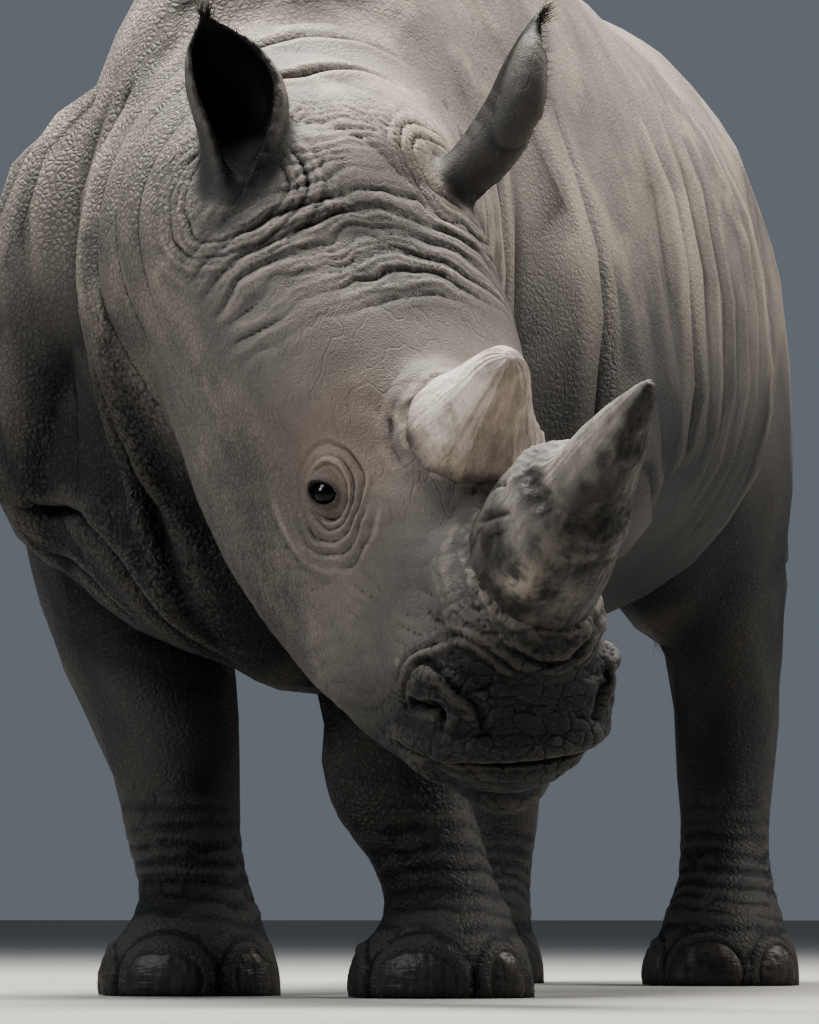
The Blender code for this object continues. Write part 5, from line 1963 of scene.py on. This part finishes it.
@dataclass
class Bristles:
    """Sparse stiff hairs: a fringe on the ears' rims, tufts on their tips, lashes, and the tail's end."""

    skin: bpy.types.Object
    seed: int = 17
    patch: float = 0.003
    fringe_count: int = 330
    tip_count: int = 60
    lash_count: int = 34
    tail_count: int = 170
    draw: np.random.Generator = field(init=False)
    points: np.ndarray = field(init=False)
    normals: np.ndarray = field(init=False)
    tree: KDTree = field(init=False)

    def __post_init__(self) -> None:
        """Read the finished skin, in the build frame."""
        self.draw = np.random.default_rng(self.seed)
        self.points = get_points(self.skin.data) + np.array(SHIFT)
        self.normals = get_normals(self.skin.data)
        self.tree = KDTree(len(self.points))
        for index, point in enumerate(self.points):
            self.tree.insert(point, index)
        self.tree.balance()

    def loose(self, direction: np.ndarray, spread: float) -> np.ndarray:
        """A direction strayed a little."""
        return direction / np.linalg.norm(direction) + self.draw.normal(0, spread, 3)

    def fringe(self) -> Iterator[Strand]:
        """Short hairs along both rims of each ear, longer towards its tip, and a tuft on the tip."""
        for ear in EARS:
            axis = np.array(ear.directions()[0])
            shares, *columns = spline(ear.profile, 40).T
            for _ in range(self.fringe_count):
                share = self.draw.uniform(0.12, 0.99)
                radius, half = (np.interp(share, shares, column) for column in columns)
                row = ear.row(share, radius, half, ear.wall / 2)
                row = row if self.draw.random() < 0.5 else row[::-1]
                edge = (row[0] - row[1]) / np.linalg.norm(row[0] - row[1])
                size = self.draw.uniform(0.006, 0.011) * (1 + 0.7 * share)
                yield row[0], self.loose(0.8 * edge + 0.8 * axis, 0.22), size
            for _ in range(self.tip_count):
                place = np.array(ear.centre(self.draw.uniform(0.93, 0.99)))
                yield place, self.loose(axis, 0.30), self.draw.uniform(0.018, 0.036)

    def lashes(self) -> Iterator[Strand]:
        """Short lashes along the upper lids."""
        half, top, _ = EYE_OPENING
        for side in Side:
            centre, along, rise, out = eye_frame(side)
            for a in np.linspace(-0.85, 0.8, self.lash_count):
                b = top * 1.12 * (1 - abs(a) ** 2.2) ** 0.55
                place = centre + along * (a * half) + rise * b + out * (EYE_RADIUS + 0.002)
                lie = from_head(np.array([0.25 * a * along - 0.25 * rise + out]))
                lie = (lie - from_head(np.zeros((1, 3))))[0]
                yield from_head(place[None])[0], self.loose(lie, 0.12), self.draw.uniform(0.008, 0.013)

    def tail(self) -> Iterator[Strand]:
        """The flat brush at the tail's end."""
        for _ in range(self.tail_count):
            turn, height = self.draw.uniform(0, 2 * math.pi), self.draw.uniform(0.62, 0.74)
            away = np.array((math.cos(turn), 0.6 * math.sin(turn), 0))
            place = np.array((0.01, 1.26, height)) + 0.02 * away
            lie = np.array((0.22, 0.22, 0)) * away - (0, 0, 1)
            yield place, self.loose(lie, 0.07), self.draw.uniform(0.04, 0.07)

    def unwrap(self, points: np.ndarray, normals: np.ndarray) -> np.ndarray:
        """The skin's unwrap: each of its six sides laid flat in a tile of its own."""
        axis = np.argmax(np.abs(normals), axis=1)
        rows = np.arange(len(axis))
        back = normals[rows, axis] < 0
        low, size = self.points.min(axis=0), np.ptp(self.points, axis=0).max()
        others = ((axis + 1) % 3, (axis + 2) % 3)
        flat = np.stack([points[rows, other] - low[other] for other in others], axis=1)
        return (flat / size + np.stack([axis, back], axis=1)) / (3, 2)

    def grow(self, name: str, strands: Iterable[Strand], thickness: float, bow: float) -> None:
        """Grow strands from the nearest skin.

        Args:
            name: the piece's name.
            strands: root, direction and length of each.
            thickness: the foot's radius, as a share of the length.
            bow: how far the middle is drawn aside, as a share of the length.
        """
        places, lies, sizes = (np.array(column) for column in zip(*strands))
        nearest = np.array([self.tree.find(place)[1] for place in places])
        roots, normals = self.points[nearest], self.normals[nearest]
        data = bpy.data.meshes.new(name)
        data.from_pydata((roots - 0.0015 * normals).tolist(), [], [])
        directions = data.attributes.new("lie", "FLOAT_VECTOR", "POINT").data
        directions.foreach_set("vector", lies.astype(np.float32).ravel())
        write_field(data, "size", sizes)
        obj = linked(name, data)
        modifier = obj.modifiers.new("grow", "NODES")
        modifier.node_group = bpy.data.node_groups.get("Bristles") or strand_tree()
        values = {"Thickness": thickness, "Bow": bow, "Material": BristleFinish().material()}
        for socket in modifier.node_group.interface.items_tree:
            if socket.name in values:
                modifier[socket.identifier] = values[socket.name]
        settle(obj)
        data = obj.data
        each = len(data.vertices) // len(roots)
        index = np.arange(len(data.vertices))
        inset = np.stack([index % each % 3 / 3, index % each // 3 * 3 / each], axis=1) - 0.5
        spots = np.repeat(self.unwrap(roots, normals), each, axis=0) + inset * self.patch
        corners = read_rows(data.loops, "vertex_index", 1, np.int32).ravel()
        layer = data.uv_layers.new(name=UV_NAME)
        layer.data.foreach_set("uv", spots[corners].astype(np.float32).ravel())
        place_piece(obj, None, "hide")

    def build(self) -> None:
        """All of the bristles."""
        self.grow("bristles_short", [*self.fringe(), *self.lashes()], 0.022, 0.16)
        self.grow("bristles_tail", list(self.tail()), 0.0090, 0.10)


# ---------------------------------------------------------------- studio
# Each lamp's name, place, aim, size, power and tint.
LAMPS = (
    ("key", (-0.9, 0.5, 6.4), (0.0, -0.3, 0.9), 4.0, 660.0, (1.0, 0.975, 0.93)),
    ("fill", (-4.2, -4.6, 4.4), (-0.1, -0.9, 1.0), 3.0, 185.0, (0.93, 0.965, 1.0)),
    ("side", (4.6, 1.8, 4.6), (0.3, 0.0, 1.3), 3.0, 250.0, (1.0, 0.97, 0.93)),
)


@dataclass
class Studio:
    """Floor, soft light and the camera."""

    azimuth: float = 16.0
    away: float = 9.3
    aside: float = 0.132
    low: float = 0.12
    aim_y: float = -0.80
    lens: float = 228.5
    pitch: float = 3.521
    floor_size: float = 160.0
    sky: tuple = (0.54, 0.60, 0.68, 1.0)
    sky_strength: float = 0.25

    def camera(self) -> None:
        """The camera close to the floor, looking slightly up at the head."""
        turn = math.radians(self.azimuth)
        right = Vector((math.cos(turn), math.sin(turn), 0))
        back = Vector((math.sin(turn), -math.cos(turn), 0))
        data = bpy.data.cameras.new("camera")
        data.lens = self.lens
        data.sensor_fit = "AUTO"
        data.sensor_width = 36.0
        data.clip_end = 500.0
        camera = bpy.data.objects.new("camera", data)
        spot = Vector((0, self.aim_y, 0)) + back * self.away + right * self.aside
        spot.z = self.low
        camera.location = spot - SHIFT
        camera.rotation_euler = Euler((math.radians(90 + self.pitch), 0, turn))
        bpy.context.scene.collection.objects.link(camera)
        bpy.context.scene.camera = camera

    def lamp(self, name: str, spot: Triple, aim: Triple, size: float, power: float, tint: Triple) -> None:
        """One large soft lamp."""
        data = bpy.data.lights.new(name, "AREA")
        data.shape = "DISK"
        data.size = size
        data.energy = power
        data.color = tint
        lamp = bpy.data.objects.new(name, data)
        lamp.location = spot
        lamp.rotation_euler = (Vector(aim) - Vector(spot)).to_track_quat("-Z", "Y").to_euler()
        bpy.context.scene.collection.objects.link(lamp)

    def build(self) -> None:
        """All of the studio."""
        half = self.floor_size / 2
        data = bpy.data.meshes.new("floor")
        corners = [(-half, -half, 0), (half, -half, 0), (half, half, 0), (-half, half, 0)]
        data.from_pydata(corners, [], [(0, 1, 2, 3)])
        data.materials.append(FloorFinish().material())
        linked("floor", data)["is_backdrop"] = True
        world = bpy.data.worlds.new("sky")
        world.use_nodes = True
        background = world.node_tree.nodes["Background"]
        background.inputs["Color"].default_value = self.sky
        background.inputs["Strength"].default_value = self.sky_strength
        bpy.context.scene.world = world
        bpy.context.scene.view_settings.look = "AgX - High Contrast"
        for name, *settings in LAMPS:
            self.lamp(name, *settings)
        self.camera()


# ---------------------------------------------------------------- build
FRONT_HORN = (
    # x, height, half-width, reach forward, reach back
    (0.250, 0.080, 0.080, 0.094, 0.098),
    (0.250, 0.150, 0.083, 0.096, 0.102),
    (0.252, 0.210, 0.083, 0.092, 0.100),
    (0.256, 0.262, 0.079, 0.084, 0.094),
    (0.261, 0.304, 0.071, 0.074, 0.085),
    (0.267, 0.333, 0.056, 0.062, 0.064),
    (0.271, 0.378, 0.049, 0.054, 0.054),
    (0.274, 0.430, 0.042, 0.044, 0.046),
    (0.276, 0.490, 0.030, 0.031, 0.032),
    (0.278, 0.545, 0.016, 0.017, 0.017),
    (0.279, 0.572, 0.006, 0.006, 0.006),
)
REAR_HORN = (
    (0.036, 0.080, 0.084, 0.070, 0.098),
    (0.036, 0.135, 0.084, 0.069, 0.096),
    (0.033, 0.185, 0.065, 0.056, 0.074),
    (0.031, 0.234, 0.045, 0.040, 0.050),
    (0.030, 0.267, 0.034, 0.031, 0.036),
    (0.030, 0.286, 0.024, 0.022, 0.026),
    (0.030, 0.297, 0.008, 0.008, 0.009),
)


PALE_HORN = HornFinish(
    "rhinoceros horn, pale",
    base=colour(207, 192, 180),
    strand=colour(150, 138, 127),
    scuff_and_highlight_pale=colour(230, 220, 208),
)


def write_sizes() -> None:
    """Gather the solids' box and the finished model's box into a table that is not kept."""
    boxes = {"cad": CAD_BOX, "visual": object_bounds()}
    {name: [list(corner) for corner in box] for name, box in boxes.items()}


def main() -> None:
    """Build every piece in order, then the studio."""
    hide = Hide().build()
    Bristles(hide).build()
    FrontHorn("horn_front", FRONT_HORN).build(HornFinish())
    Horn("horn_rear", REAR_HORN, seed=9, steps=12).build(PALE_HORN)
    NAILS.build(NailFinish())
    for side in Side:
        Eyeball(side).build(EyeFinish())
    Studio().build()
    write_sizes()


if __name__ == "__main__":
    main()
